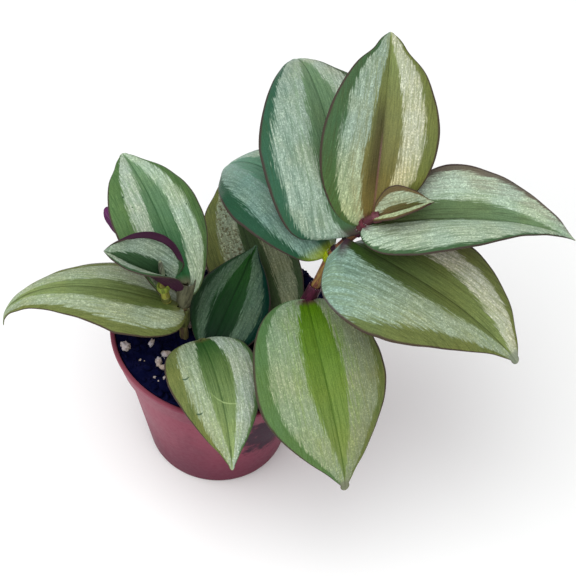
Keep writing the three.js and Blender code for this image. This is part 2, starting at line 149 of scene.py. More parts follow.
# A leaf in millimetres, degrees and shares. Pairs are for its left and its right half,
# seen from the base to the tip.
# Place: its stem, height on it, side it faces, or cap for the leaf at the stem's tip.
# Sheath: from and to along the stem, wall, flare.
# Bend: heading and sway, rise and arch (late in the blade), roll and twist, fold at the
# base and the tip, open, cup, inroll of the edge beyond roll_from, wave of the edge.
# Outline: length, width, where it is widest, fullness of tip and base, slim base,
# broaden, taper, belly, nip before the tip and the nub that ends it.
# Base: its middle is pulled over a reach, its lobes run back and one is lifted.
DEFAULTS = dict(
    height=0, side=0, cap=False, wall=SHEATH_WALL, flare=0, sway=0, late=1, roll=0, twist=0,
    fold=15, fold_tip=None, open=(0, 0), cup=35, inroll=(0, 0), roll_from=0.76, wave=0.3,
    widest=0.42, tip=(1.75, 1.15), base=0.5, slim=(0, 0), broaden=(1, 1), taper=(0, 0), belly=(0, 0),
    nip=0.12, nub=0.7, pull=(0, 0, 0), reach=4, lobes=(0.6, 0.6), lift=0,
)

LEAVES = {
    "leaf_right_front": dict(
        stem="stem_right", height=58.4, side=-110, sheath=(-2.4, 4.4),
        heading=-77, sway=18, rise=8, arch=80, length=49.2, width=30, fold=14, widest=0.43,
        tip=(1.75, 1.2), base=0.42, nip=0.1, nub=1.15, broaden=(1, 1.08), belly=(0, 0.09)),
    "leaf_right_low": dict(
        stem="stem_right", height=75.1, side=-95, sheath=(-0.7, 0.6), wall=0.3,
        heading=-11, sway=-16, rise=4, arch=42, length=49.8, width=31, fold=14, cup=38,
        widest=0.37, tip=(1.8, 1), base=0.3, slim=(1, 0), pull=(1.9, 0.9, 4.7), lobes=(0.5, 1.8),
        broaden=(1.04, 1.25), taper=(-0.09, 0.53), open=(34, 0), nip=0.06, nub=1.1),
    "leaf_right_long": dict(
        stem="stem_right", height=80.3, side=-10, sheath=(-0.6, 0.7), wall=0.35,
        heading=11, sway=-4, rise=23, arch=52, length=52, width=26.5,
        fold=24, fold_tip=50, cup=32, widest=0.4, tip=(1.6, 1.15), slim=(1, 0), pull=(0.1, 0.4, 3.4),
        lobes=(0.5, 1), lift=2.6, broaden=(1.1, 1), taper=(0, 0.42), nip=0, nub=0.3),
    "leaf_right_top": dict(
        stem="stem_right", height=82.7, side=80, sheath=(-0.6, 0.7), wall=0.35,
        heading=81.5, sway=12, rise=55, arch=30, roll=-11, length=43.3, width=25.5, fold=20, fold_tip=38,
        tip=(1.9, 0.85), slim=(0, 0.4), pull=(1.6, -0.9, 0.9), reach=3, lobes=(2.4, 0.6),
        broaden=(1.1, 1.06), nip=0.2, nub=1),
    "leaf_right_back": dict(
        stem="stem_right", height=77.9, side=104, sheath=(-0.5, 0.6), wall=0.35,
        heading=112.5, sway=-7, rise=65, arch=112, length=60, width=34.5,
        fold=18, widest=0.36, tip=(1.45, 1.3), base=0.26, slim=(0, 1), pull=(3.6, -1.9, 3.4), reach=18,
        lobes=(0, 0.5), nip=0.05),
    "leaf_right_rear": dict(
        stem="stem_right", height=72.9, side=95, sheath=(-1.2, 0.9),
        heading=133, sway=6, rise=48, arch=110, length=45, width=27,
        tip=(1.75, 0.9), base=0.4, slim=(0.2, 1), broaden=(1.14, 1), open=(-14, 0)),
    "leaf_right_young": dict(
        stem="stem_right", cap=True, sheath=(-1.5, 0.2), wall=0.3,
        heading=10, rise=26, arch=10, length=13, width=11.5,
        fold=40, cup=10, widest=0.38, base=0.65, lobes=(0.4, 1.2), nub=0.4, wave=0.1),
    "leaf_middle_rear": dict(
        stem="stem_right", height=46.2, side=180, sheath=(-1, 1.2),
        heading=122, sway=-14, rise=22, arch=14, length=43, width=23.5, fold=10, widest=0.45, tip=(2, 0.8)),
    "leaf_left_tall": dict(
        stem="stem_left", height=63, side=150, sheath=(-8.4, 0), flare=0.8,
        heading=121.5, sway=4, rise=50, arch=56, length=34, width=22.3,
        tip=(2, 0.85), pull=(2.4, -2.8, 0.6), reach=7, lobes=(1, 6), taper=(0, 0.12), nub=1.2),
    "leaf_left_long": dict(
        stem="stem_left", height=53.4, side=145, sheath=(-5, 0.6),
        heading=182, sway=5, rise=18, arch=108, late=2.2, length=51, width=22.5,
        fold=8, cup=40, widest=0.28, tip=(1.05, 1.15), base=0.4, slim=(0, 0.4), pull=(0.3, -2.8, 3), reach=7,
        lobes=(2.6, 0.5)),
    "leaf_left_side": dict(
        stem="stem_left_side", cap=True, sheath=(-1.2, 0.4),
        heading=188, rise=48, arch=12, length=18.9, width=18,
        fold=70, fold_tip=50, cup=0, widest=0.45, tip=(2, 0.9), wave=0.1, inroll=(0, 200), roll_from=0.68,
        broaden=(1, 1.36), open=(-32, 0), lobes=(3, 0.4), nub=0.4),
    "leaf_left_under": dict(
        stem="stem_left_side", height=57.8, side=115, sheath=(-0.9, 0.7), wall=0.05,
        heading=137, rise=32, arch=16, roll=-30, twist=-65, length=24.3, width=12,
        fold=10, cup=20, widest=0.5, tip=(3, 0.5), slim=(0.7, 0.7), wave=0.1),
    "leaf_middle_dark": dict(
        stem="stem_middle", height=45.3, side=30, sheath=(-1, 0.5),
        heading=68, sway=3, rise=34, arch=12, length=27.5, width=20.5, fold=10, widest=0.4, slim=(0.25, 0)),
    "leaf_front_small": dict(
        stem="stem_middle", cap=True, sheath=(-1.6, 0.4),
        heading=-66, sway=-8, rise=24, arch=78, length=35.3, width=22.5,
        fold=10, widest=0.3, tip=(1.8, 1.1), base=0.3),
}
for seed, (leaf_name, given) in enumerate(LEAVES.items(), 1):
    LEAVES[leaf_name] = SimpleNamespace(**{**DEFAULTS, **given, "seed": seed})

# The rolled leaf that the side shoot's own leaf holds
BUD_START = (-14.2, -4.4, 64.6)
BUD_END = (-15.1, -3.9, 71.2)
BUD_RADIUS = 0.65
BUD_SEAM = 5.7

# Leaf colours, from dark to light
# The two darkest greens are painted shade, for the leaf in the middle that lies in the shadow of the leaves
# over it.
SHADED_GREEN = (0, 25, 15)
SHADED_TEAL = (5, 45, 35)
PINE = (35, 65, 40)
LODEN = (45, 65, 15)
CLOVER = (30, 75, 25)
DEEP_TEAL = (35, 75, 55)
IVY = (60, 80, 50)
MOSS = (65, 80, 35)
EMERALD = (30, 85, 50)
BARK = (95, 85, 55)
TEAL = (50, 90, 70)
FERN = (65, 95, 65)
ASH = (105, 100, 90)
LIME = (80, 120, 0)
OLIVE = (105, 115, 65)
GRASS = (85, 115, 70)
SPRING = (125, 140, 85)
PALE_TEAL = (100, 145, 125)
SAGE = (120, 150, 115)
CELERY = (145, 165, 110)

# Colours of the silver bands, from dim to bright
SHADE = (70, 95, 75)
DIM = (130, 140, 110)
FROST = (115, 145, 135)
SOFT = (140, 155, 125)
SILVER = (150, 165, 140)
COOL = (150, 170, 155)
PEARL = (165, 180, 165)
CREAM = (180, 185, 165)
BRIGHT = (170, 190, 170)
MINT = (185, 205, 165)

# Stem colours: skin, streaks
STEM_COLOURS = {
    "stem_right": ((138, 112, 62), (104, 58, 54)),
    "stem_left": ((104, 98, 62), (78, 62, 54)),
    "stem_left_side": ((130, 132, 56), (106, 100, 50)),
    "stem_middle": ((96, 92, 56), (70, 56, 46)),
}
STEM_SEED = 31
BUD_COLOURS = ((134, 146, 118), (84, 84, 74))

# A leaf's look: centre at the base and the tip, silver and edge of the left and the
# right half, midrib, sheath, underside. Inner and outer edge of the silver band of each
# half at the base, the middle and the tip, as shares of it. How far the sheath's flush
# runs up and out, tint of the base, strength of brown mottle on the silver, marks
# (across, along, radius, width, colour), veins where they aren't as the midrib, strength,
# width and end of the midrib, and strength of the painted shadow of the fold beside it.
LOOK = dict(
    centre=(FERN, SAGE), silver=(SILVER, SILVER), edge=(GRASS, GRASS),
    midrib=(60, 85, 40), sheath=(110, 95, 70), under=(84, 42, 86),
    inner=((0.22, 0.28, 0.1), (0.22, 0.28, 0.1)), outer=((0.84, 0.76, 0.8), (0.84, 0.76, 0.8)),
    flush=(0.05, 0.5), tint=(1, 1, 1), mottle=0, marks=(), vein=None, rib=(0.5, 0.42, 1), dusk=0,
)
LOOKS = {
    "leaf_right_front": dict(
        centre=(LIME, SPRING), silver=(DIM, SOFT), edge=(OLIVE, GRASS),
        midrib=(50, 85, 10), sheath=(75, 30, 50),
        inner=((0.26, 0.32, 0.08), (0.22, 0.26, 0.08)), outer=((0.82, 0.84, 0.66), (0.8, 0.76, 0.74)),
        tint=(0.86, 0.96, 1), marks=((0, 49.2, 0, 4, (116, 118, 98)),)),
    "leaf_right_low": dict(
        centre=(LODEN, SPRING), silver=(CREAM, SILVER), edge=(OLIVE, OLIVE),
        midrib=(45, 50, 25), sheath=(55, 30, 45),
        inner=((0.3, 0.4, 0.1), (0.14, 0.25, 0.12)), outer=((0.72, 0.71, 0.84), (1.15, 0.74, 0.84)),
        tint=(0.66, 0.86, 1.05), marks=((0, 49.8, 0, 4, (122, 130, 112)),)),
    "leaf_right_long": dict(
        centre=(MOSS, SAGE), silver=(BRIGHT, BRIGHT), edge=(ASH, FERN),
        midrib=(55, 60, 40), sheath=(70, 35, 50),
        inner=((0.34, 0.34, 0.1), (0.08, 0.1, 0.06)), outer=((0.86, 0.86, 0.86), (0.86, 0.9, 0.92))),
    "leaf_right_top": dict(
        centre=(BARK, SPRING), silver=(COOL, CREAM), edge=(FERN, OLIVE),
        midrib=(110, 80, 85), sheath=(90, 40, 50),
        inner=((0.3, 0.27, 0.12), (0.26, 0.36, 0.18)), outer=((0.78, 0.72, 0.86), (0.78, 0.74, 0.86)),
        tint=(1.2, 1.06, 0.72), vein=(62, 66, 40), rib=(0.7, 0.6, 0.5), dusk=0.75),
    "leaf_right_back": dict(
        centre=(FERN, SAGE), silver=(COOL, PEARL), edge=(TEAL, IVY),
        midrib=(50, 80, 50), sheath=(60, 45, 45),
        inner=((0.26, 0.28, 0.12), (0.26, 0.3, 0.12)), outer=((0.86, 0.82, 0.86), (0.84, 0.78, 0.84))),
    "leaf_right_rear": dict(
        centre=(TEAL, PALE_TEAL), silver=(FROST, COOL), edge=(DEEP_TEAL, TEAL),
        midrib=(45, 80, 60), sheath=(160, 175, 20), flush=(0.075, 1.6)),
    "leaf_right_young": dict(
        centre=(BARK, MOSS), silver=(SILVER, MINT), edge=(BARK, BARK),
        midrib=(95, 60, 50), sheath=(110, 60, 70),
        inner=((0.2, 0.26, 0.1), (0.24, 0.3, 0.1)), outer=((0.76, 0.76, 0.84), (0.8, 0.8, 0.84))),
    "leaf_middle_rear": dict(
        centre=(IVY, IVY), silver=(SILVER, DIM), edge=(OLIVE, IVY),
        midrib=(45, 60, 40), sheath=(75, 70, 45),
        inner=((0.14, 0.14, 0.1), (0.22, 0.28, 0.1)), outer=((0.66, 0.6, 0.7), (0.84, 0.76, 0.8)),
        mottle=0.8),
    "leaf_left_tall": dict(
        centre=(EMERALD, SAGE), silver=(PEARL, BRIGHT), edge=(GRASS, GRASS),
        midrib=(25, 70, 30), sheath=(90, 90, 70),
        inner=((0.34, 0.22, 0.1), (0.26, 0.33, 0.16)), outer=((0.8, 0.6, 0.7), (0.9, 0.74, 0.8)),
        marks=((-6, 21.6, 0, 0.35, PINE), (-5.2, 18.4, 0, 0.22, PINE), (7.4, 15, 0, 0.25, PINE))),
    "leaf_left_long": dict(
        centre=(MOSS, CELERY), silver=(SILVER, SILVER), edge=(OLIVE, OLIVE),
        midrib=(50, 60, 25), sheath=(85, 90, 50),
        inner=((0.24, 0.32, 0.1), (0.22, 0.26, 0.1)), outer=((0.8, 0.76, 0.84), (0.84, 0.8, 0.84))),
    "leaf_left_side": dict(
        centre=(PINE, FERN), silver=(PEARL, COOL), edge=(FERN, FERN),
        midrib=(35, 55, 35), sheath=(120, 135, 50), under=(54, 28, 46),
        inner=((0.2, 0.3, 0.1), (0.24, 0.3, 0.1)), outer=((0.9, 0.8, 0.8), (0.74, 0.76, 0.84))),
    "leaf_left_under": dict(
        centre=(FERN, FERN), under=(84, 36, 78), sheath=(85, 90, 45)),
    # Painted shade: this leaf lies in the shadow of the leaves over it, so its colours, silver and midrib are
    # made dark.
    "leaf_middle_dark": dict(
        centre=(SHADED_GREEN, CLOVER), silver=(SHADE, SHADE), edge=(PINE, SHADED_TEAL),
        midrib=(5, 25, 10), sheath=(55, 55, 30),
        inner=((0.36, 0.36, 0.16), (0.4, 0.34, 0.16)), outer=((0.74, 0.72, 0.8), (0.8, 0.78, 0.84))),
    "leaf_front_small": dict(
        centre=(CLOVER, CELERY), silver=(PEARL, SILVER), edge=(GRASS, OLIVE),
        midrib=(25, 65, 20), sheath=(80, 85, 45),
        inner=((0.28, 0.36, 0.16), (0.2, 0.28, 0.12)), outer=((0.86, 0.84, 0.84), (0.7, 0.7, 0.84)),
        marks=((6.9, 11, 0.8, 0.3, PINE), (5.7, 20.5, 0.7, 0.26, PINE), (-3.4, 14, 6.3, 0.2, CELERY))),
}

# Materials of a leaf, in their order
FACE, UNDER, SHEATH = range(3)

# Camera at the photograph's angle, and where the lights point
CAMERA_TARGET = (14.9, 13.7, 44)
CAMERA_DISTANCE = 400
CAMERA_ELEVATION = math.radians(51)
CAMERA_ROLL = math.radians(6)
LIGHT_AIM = (0.01, 0, 0.05)
FLOOR_REACH = 3


def rgb(colour):
    """Linear colour of an 8-bit screen colour."""
    shares = [value / 255 for value in colour]
    return (*(v / 12.92 if v <= 0.04045 else ((v + 0.055) / 1.055) ** 2.4 for v in shares), 1)


def scaled(colour, factor):
    return tuple(min(255, value * factor) for value in colour)


class Surface:
    """One material, built from nodes whose inputs are numbers, colours or sockets."""

    def __init__(self, name, specular=0.5):
        self.material = bpy.data.materials.new(name)
        self.material.use_nodes = True
        self.tree = self.material.node_tree
        self.shader = self.tree.nodes["Principled BSDF"]
        self.shader.inputs["Specular IOR Level"].default_value = specular
        self.body = None

    def give(self, socket, value):
        """Links or sets a socket. A colour of three numbers is a screen colour."""
        if isinstance(value, bpy.types.NodeSocket):
            self.tree.links.new(value, socket)
        elif isinstance(value, tuple) and len(value) == 3:
            socket.default_value = rgb(value)
        else:
            socket.default_value = value

    def node(self, kind, inputs, **settings):
        """New node with its settings, and its inputs by name or number."""
        node = self.tree.nodes.new("ShaderNode" + kind)
        for key, value in settings.items():
            setattr(node, key, value)
        for key, value in inputs.items():
            self.give(node.inputs[key], value)
        return node

    def math(self, operation, first, second=0):
        return self.node("Math", {0: first, 1: second}, operation=operation).outputs[0]

    def add(self, first, second):
        return self.math("ADD", first, second)

    def times(self, first, second):
        return self.math("MULTIPLY", first, second)

    def swing(self, value, reach):
        """Makes a value that goes from 0 to 1 swing about 0 over the reach."""
        return self.times(self.add(value, -0.5), reach)

    def hypotenuse(self, first, second):
        return self.math("SQRT", self.add(self.times(first, first), self.times(second, second)))

    def step(self, value, low, high, start=0, end=1):
        """Goes smoothly from start to end as value goes from low to high."""
        inputs = {"Value": value, "From Min": low, "From Max": high, "To Min": start, "To Max": end}
        return self.node("MapRange", inputs, interpolation_type="SMOOTHSTEP").outputs[0]

    def between(self, factor, start, end):
        return self.node("Mix", {0: factor, 2: start, 3: end}, data_type="FLOAT").outputs[0]

    def mix(self, factor, first, second, blend="MIX"):
        inputs = {0: factor, 6: first, 7: second}
        return self.node("Mix", inputs, data_type="RGBA", blend_type=blend).outputs[2]

    def paint(self, factor, colour):
        """Lays a colour over what is painted already."""
        self.body = self.mix(factor, self.body, colour)

    def multiply(self, factor, shares):
        """Multiplies the red, green and blue of what is painted already."""
        self.body = self.mix(factor, self.body, (*shares, 1), "MULTIPLY")

    def combine(self, x, y, z):
        return self.node("CombineXYZ", {0: x, 1: y, 2: z}).outputs[0]

    def attribute(self, name):
        return self.node("Attribute", {}, attribute_name=name).outputs["Fac"]

    def position(self):
        return self.node("TexCoord", {}).outputs["Object"]

    def noise(self, vector, scale, detail=2, roughness=0.5):
        inputs = {"Vector": vector, "Scale": scale, "Detail": detail, "Roughness": roughness}
        return self.node("TexNoise", inputs).outputs["Fac"]

    def cells(self, vector, scale):
        """A random number for each cell of a broken pattern."""
        colour = self.node("TexVoronoi", {"Vector": vector, "Scale": scale}).outputs["Color"]
        return self.node("SeparateColor", {0: colour}).outputs[0]

    def finish(self, rough, height=None, depth=0, strength=1):
        """Gives the shader what is painted, its roughness, and relief of a depth in millimetres."""
        self.give(self.shader.inputs["Base Color"], self.body)
        self.give(self.shader.inputs["Roughness"], rough)
        if height is not None:
            bump = self.node("Bump", {"Strength": strength, "Distance": depth * MM, "Height": height})
            self.give(self.shader.inputs["Normal"], bump.outputs[0])
        return self.material


class PlantSkin(Surface):
    """A surface whose patterns run in millimetres across and along it."""

    def __init__(self, name, seed, specular=0.5):
        super().__init__(name, specular)
        self.seed = seed
        self.x = self.attribute("across_mm")
        self.y = self.attribute("along_mm")

    def place(self, across, along, offset):
        return self.combine(self.times(self.x, across), self.times(self.y, along), self.seed + offset)

    def pattern(self, across, along, offset, scale=1, detail=2, roughness=0.5):
        """Noise, drawn out into streaks where the scales across and along differ."""
        return self.noise(self.place(across, along, offset), scale, detail, roughness)


def leaf_face(name, look, seed):
    """Upper side: green centre and edges, a streaky silver band on each half, a thin dark margin."""
    m = PlantSkin(name + "_face", seed)
    m.veins = look.vein or look.midrib
    across = m.attribute("across")
    m.v = m.attribute("along")
    m.away = m.math("ABSOLUTE", across)
    m.right = m.step(across, -0.03, 0.03)
    m.streak = m.pattern(2.3, 0.12, 0, 1, 3, 0.6)
    m.fine = m.pattern(5.5, 0.6, 3)
    m.grain = m.pattern(1, 1, 7, 3, 3, 0.65)
    wander = m.add(m.swing(m.streak, 0.24), m.swing(m.fine, 0.14))
    m.silver = m.step(m.add(m.attribute("band"), wander), -0.035, 0.045)
    paint_green(m, look)
    paint_silver(m, look)
    paint_lines(m, look)
    paint_tints(m, look)
    for spot in look.marks:
        paint_mark(m, *spot)
    margin = m.add(m.away, m.swing(m.streak, 0.03))
    m.paint(m.step(margin, 0.955, 0.985, 0, 0.85), (66, 48, 48))
    return leaf_gloss(m)


def paint_green(m, look):
    """Centre and edges, streaked with the colour of the veins, and a painted fold shadow beside the midrib.
    """
    centre = m.mix(m.v, *look.centre)
    edge = m.mix(m.right, *look.edge)
    m.body = m.mix(m.step(m.away, 0.42, 0.62), centre, edge)
    m.paint(m.step(m.streak, 0.42, 0.68, 0, 0.35), m.veins)
    # Painted shadow of the fold beside the midrib: darker and purpler over the lower part of the blade.
    if look.dusk:
        beside = m.step(m.math("ABSOLUTE", m.add(m.x, 0.9)), 0.4, 2.6, look.dusk, 0)
        shade = m.times(beside, m.step(m.v, 0.7, 0.5))
        m.multiply(m.times(shade, m.step(m.v, 0.05, 0.25)), (0.42, 0.34, 0.44))
    m.multiply(m.step(m.fine, 0.5, 0.75), (1.35, 1.3, 1.25))


def paint_silver(m, look):
    """Silver bands, dull in some cells and bright in others: grain, with painted glints in the bright cells.
    """
    cell = m.cells(m.place(1, 0.7, 0), 4.4)
    pale = m.mix(m.right, *look.silver)
    dull = m.mix(0.55, pale, m.body)
    pale = m.mix(m.step(m.streak, 0.36, 0.6), dull, pale)
    pale = m.mix(m.step(cell, 0, 0.5, 0.6, 0), pale, dull)
    # Grain with painted glints: some cells and fine streaks of the silver are made much brighter.
    grain_and_glint = m.mix(1, pale, (1.55, 1.5, 1.5, 1), "MULTIPLY")
    pale = m.mix(m.step(cell, 0.7, 1, 0, 0.9), pale, grain_and_glint)
    pale = m.mix(m.step(m.fine, 0.52, 0.75, 0, 0.7), pale, grain_and_glint)
    m.paint(m.silver, pale)


def paint_lines(m, look):
    """Fine parallel veins and the midrib."""
    vein = m.step(m.math("PINGPONG", m.away, 0.045), 0, 0.014, 1, 0)
    vein = m.times(vein, m.step(m.v, 0.97, 0.8))
    m.paint(m.times(vein, m.step(m.streak, 0.35, 0.65, 0.05, 0.22)), m.veins)
    strength, width, end = look.rib
    rib = m.step(m.math("ABSOLUTE", m.x), 0.1, width, strength, 0)
    m.paint(m.times(rib, m.step(m.v, end, end - 0.15)), look.midrib)


def paint_tints(m, look):
    """Broad patches, grain, the base's tint, brown mottle, and the sheath's flush."""
    m.multiply(m.step(m.pattern(1, 1, 9, 0.13), 0.35, 0.7), (1.08, 1.02, 0.94))
    m.multiply(m.step(m.grain, 0.3, 0.6, 1, 0), (0.78, 0.8, 0.78))
    m.multiply(m.step(m.v, 0, 0.5, 1, 0), look.tint)
    if look.mottle:
        patch = m.step(m.pattern(1, 1, 5, 1.3, 4, 0.75), 0.5, 0.6, 0, look.mottle)
        m.paint(m.times(patch, m.times(m.silver, m.step(m.x, 2, -1))), (76, 66, 30))
    up, out = look.flush
    flush = m.times(m.step(m.v, 0, up, 0.9, 0), m.step(m.away, 0.2, out, 1, 0))
    m.paint(flush, look.sheath)


def paint_mark(m, across, along, radius, width, colour):
    """A dot, or an arc on the tip's side of its centre. A wide arc stays off the silver."""
    dy = m.add(m.y, -along)
    reach = m.hypotenuse(m.add(m.x, -across), dy)
    line = m.step(m.math("ABSOLUTE", m.add(reach, -radius)), width * 0.5, width, 0.85, 0)
    if radius:
        line = m.times(line, m.step(dy, 0.3 * radius, 0.8 * radius))
    if radius > 2:
        line = m.times(line, m.math("SUBTRACT", 1, m.silver))
    m.paint(line, colour)


def leaf_gloss(m):
    """Gloss and relief: silver reflects more than green and is a little rougher."""
    m.give(m.shader.inputs["Specular IOR Level"], m.between(m.silver, 0.06, 0.16))
    rough = m.add(m.between(m.silver, 0.36, 0.44), m.swing(m.grain, 0.2))
    small = m.add(m.times(m.fine, 0.5), m.times(m.grain, 0.5))
    return m.finish(rough, m.add(m.times(m.streak, 1.2), small), 0.14, 0.9)


def leaf_under(name, look, seed):
    """Underside: purple, faintly streaked along the leaf."""
    m = PlantSkin(name + "_under", seed, 0.05)
    streak = m.pattern(3, 0.25, 0, 1, 3)
    broad = m.pattern(1, 1, 9, 0.2)
    m.body = m.mix(streak, scaled(look.under, 0.82), scaled(look.under, 1.15))
    m.paint(m.step(broad, 0.45, 0.75, 0, 0.5), scaled(look.under, 1.3))
    return m.finish(m.between(streak, 0.38, 0.52), streak, 0.12, 0.7)


def stem_skin(name, colour, streaks, seed, flush=None):
    """Fleshy skin with darker and yellower streaks along it. A flush darkens it between two places."""
    m = PlantSkin(name, seed, 0.16)
    streak = m.pattern(1.6, 0.16, 0, 1, 3)
    fine = m.pattern(5, 0.6, 4)
    m.body = m.mix(m.step(streak, 0.4, 0.6), colour, streaks)
    m.paint(m.step(fine, 0.45, 0.75, 0, 0.4), scaled(colour, 1.5))
    if flush:
        m.paint(m.step(m.add(m.y, m.swing(streak, 5)), *flush, 0, 0.9), (74, 32, 48))
    return m.finish(m.between(fine, 0.36, 0.5), m.add(streak, fine), 0.12, 0.6)


def add_object(name, data):
    made = bpy.data.objects.new(name, data)
    bpy.context.scene.collection.objects.link(made)
    return made


def mesh_piece(name, points, faces, materials, slot, nodes=(), fields=None, kinds=None):
    """Object from points in millimetres, with its fields (numbers per point) and its place in the frame."""
    mesh = bpy.data.meshes.new(name)
    mesh.from_pydata((np.asarray(points, float) * MM).tolist(), [], faces)
    for field, values in (fields or {}).items():
        layer = mesh.attributes.new(field, "FLOAT", "POINT")
        layer.data.foreach_set("value", np.asarray(values, np.float32).ravel())
    for material in materials:
        mesh.materials.append(material)
    if kinds is not None:
        mesh.polygons.foreach_set("material_index", kinds)
    mesh.polygons.foreach_set("use_smooth", [True] * len(mesh.polygons))
    mesh.validate()
    mesh.update()
    piece = add_object(name, mesh)
    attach(piece, "root")
    if nodes:
        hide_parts(*nodes)
    return piece


class Shoot:
    """Smooth line through a shoot's points, measured along its length."""

    def __init__(self, points):
        given = np.array(points, float)
        ends = np.vstack([2 * given[0] - given[1], given, 2 * given[-1] - given[-2]])
        count = len(given) - 1
        self.points = np.vstack([self.span(*ends[i:i + 4], i == count - 1) for i in range(count)])
        steps = np.linalg.norm(np.diff(self.points, axis=0), axis=1)
        self.distances = np.concatenate([[0], np.cumsum(steps)])
        self.length = self.distances[-1]

    @staticmethod
    def span(a, b, c, d, last):
        """Curve from b towards c that suits their neighbours. Only the last one has its end."""
        before, own, after = (np.linalg.norm(q - p) ** 0.5 for p, q in ((a, b), (b, c), (c, d)))
        leave = ((b - a) / before - (c - a) / (before + own) + (c - b) / own) * own
        arrive = ((c - b) / own - (d - b) / (own + after) + (d - c) / after) * own
        w = np.linspace(0, 1, SPAN_STEPS, endpoint=last)[:, None]
        return (b + leave * w + (3 * c - 3 * b - 2 * leave - arrive) * w ** 2
                + (2 * b - 2 * c + leave + arrive) * w ** 3)

    def inner_point(self, distance):
        return np.array([np.interp(distance, self.distances, self.points[:, k]) for k in range(3)])

    def at(self, distance):
        """Point at a distance along the shoot, straight on past either end."""
        inside = min(max(distance, 0), self.length)
        return self.inner_point(inside) + self.axis(distance) * (distance - inside)

    def axis(self, distance):
        inside = min(max(distance, AXIS_REACH), self.length - AXIS_REACH)
        way = self.inner_point(inside + AXIS_REACH) - self.inner_point(inside - AXIS_REACH)
        return way / np.linalg.norm(way)

    def radius(self, distance):
        return STEM_RADIUS + (TIP_RADIUS - STEM_RADIUS) * min(max(distance / self.length, 0), 1)

    def leaf_distance(self, leaf):
        """Distance along the shoot at which a leaf grows."""
        if leaf.cap:
            return self.length
        return float(np.interp(leaf.height, self.points[:, 2], self.distances))


shoots = {name: Shoot(points) for name, points in SHOOTS.items()}


def frame_across(axis):
    across = np.cross((0, 1, 0), axis)
    across /= np.linalg.norm(across)
    return across, np.cross(axis, across)


def around(axis, sides):
    """Angle and direction of each side round an axis."""
    across, other = frame_across(axis)
    angles = [FULL_TURN * i / sides for i in range(sides)]
    return [(angle, across * math.cos(angle) + other * math.sin(angle)) for angle in angles]


def from_seam(angle):
    return min(angle, FULL_TURN - angle)


def skin(count, sides, closed_ends=True):
    """Faces between rows of points that each go once round."""
    faces = []
    for row in range(count - 1):
        for i in range(sides):
            j = (i + 1) % sides
            faces.append((row * sides + i, row * sides + j, (row + 1) * sides + j, (row + 1) * sides + i))
    if closed_ends:
        faces.append(tuple(range(sides))[::-1])
        faces.append(tuple((count - 1) * sides + i for i in range(sides)))
    return faces


def circle(radius, z, sides):
    turns = [FULL_TURN * i / sides for i in range(sides)]
    return [(radius * math.cos(turn), radius * math.sin(turn), z) for turn in turns]


def gather(parts):
    points, faces = [], []
    for some_points, some_faces in parts:
        first = len(points)
        points += some_points
        faces += [tuple(first + i for i in face) for face in some_faces]
    return points, faces


def blade_axes(s, leaf):
    """Directions along the blade, across it and off its face."""
    heading = np.radians(leaf.heading + leaf.sway * s)
    pitch = np.radians(leaf.rise - leaf.arch * s ** leaf.late)
    roll = np.radians(leaf.roll + leaf.twist * s)[:, None]
    along = np.stack([np.cos(pitch) * np.cos(heading), np.cos(pitch) * np.sin(heading), np.sin(pitch)], -1)
    level = np.stack([np.sin(heading), -np.cos(heading), np.zeros_like(s)], -1)
    normal = np.cross(level, along)
    side = level * np.cos(roll) + normal * np.sin(roll)
    face = normal * np.cos(roll) - level * np.sin(roll)
    return along, side, face


def outline(s, leaf):
    """Half-width share along the blade, from the base to the tip."""
    widest, (power, fullness) = leaf.widest, leaf.tip
    back = np.clip((widest - s) / widest, 0, 1)
    on = np.clip((s - widest) / (1 - widest), 0, 1)
    return np.where(s < widest, (1 - back ** 2.2) ** leaf.base, (1 - on ** power) ** fullness)


def blade_start(leaf, shoot, distance):
    axis, place, radius = shoot.axis(distance), shoot.at(distance), shoot.radius(distance)
    if leaf.cap:
        along = blade_axes(np.zeros(1), leaf)[0][0]
        return place + axis * 0.7 - along * radius
    turn = math.radians(leaf.side)
    outward = np.array([math.cos(turn), math.sin(turn), 0])
    outward -= axis * (outward @ axis)
    outward /= np.linalg.norm(outward)
    return place + outward * (radius + ROOT_OFFSET + leaf.flare)


def blade_line(leaf, start, s):
    """Middle line of the blade, summed up in fine steps."""
    fine = np.linspace(0, 1, LINE_STEPS + 1)
    steps = blade_axes(fine, leaf)[0] * leaf.length
    line = start + np.vstack([np.zeros(3), np.cumsum((steps[1:] + steps[:-1]) / 2, axis=0) / LINE_STEPS])
    return np.stack([np.interp(s, fine, line[:, k]) for k in range(3)], -1)


def bell(s, middle, spread):
    return np.exp(-((s - middle) / spread) ** 2)


def half_width(leaf, s, k):
    """Width of one half along the blade, ending in a small round nub."""
    blunt = 1.1 / leaf.length
    nub = leaf.nub * np.sqrt(np.clip(1 - ((s - 1 + blunt) / blunt) ** 2, 0, 1)) * (s > 1 - 2 * blunt)
    slim = 1 - leaf.slim[k] * (1 - s) ** 6
    half = leaf.width / 2 * outline(s, leaf) * slim * leaf.broaden[k]
    half *= 1 - leaf.taper[k] * s ** 2
    half *= 1 + leaf.belly[k] * bell(s, 0.62, 0.2)
    half *= 1 - leaf.nip * bell(s, 0.9, 0.06)
    return np.maximum(half + 1.5 * (1 - s) ** 14 + 0.03, nub)


def half_section(leaf, s, share, k):
    """How far out and up the half's points lie, as shares of its width."""
    middle = (share[1:] + share[:-1]) / 2
    fold_tip = leaf.fold if leaf.fold_tip is None else leaf.fold_tip
    fold = leaf.fold + (fold_tip - leaf.fold) * s + leaf.open[k] * s
    curl = leaf.inroll[k] * np.clip((middle - leaf.roll_from) / (1 - leaf.roll_from), 0, 1) ** 1.3
    strength = np.clip(np.sin(np.pi * s) * 1.6, 0, 1)
    slope = np.radians(fold[:, None] - leaf.cup * middle[None, :] + curl[None, :] * strength[:, None])
    ways = (np.cumsum(part, axis=1) for part in (np.cos(slope), np.sin(slope)))
    return [np.concatenate([np.zeros((len(s), 1)), way], axis=1) / BLADE_COLUMNS for way in ways]


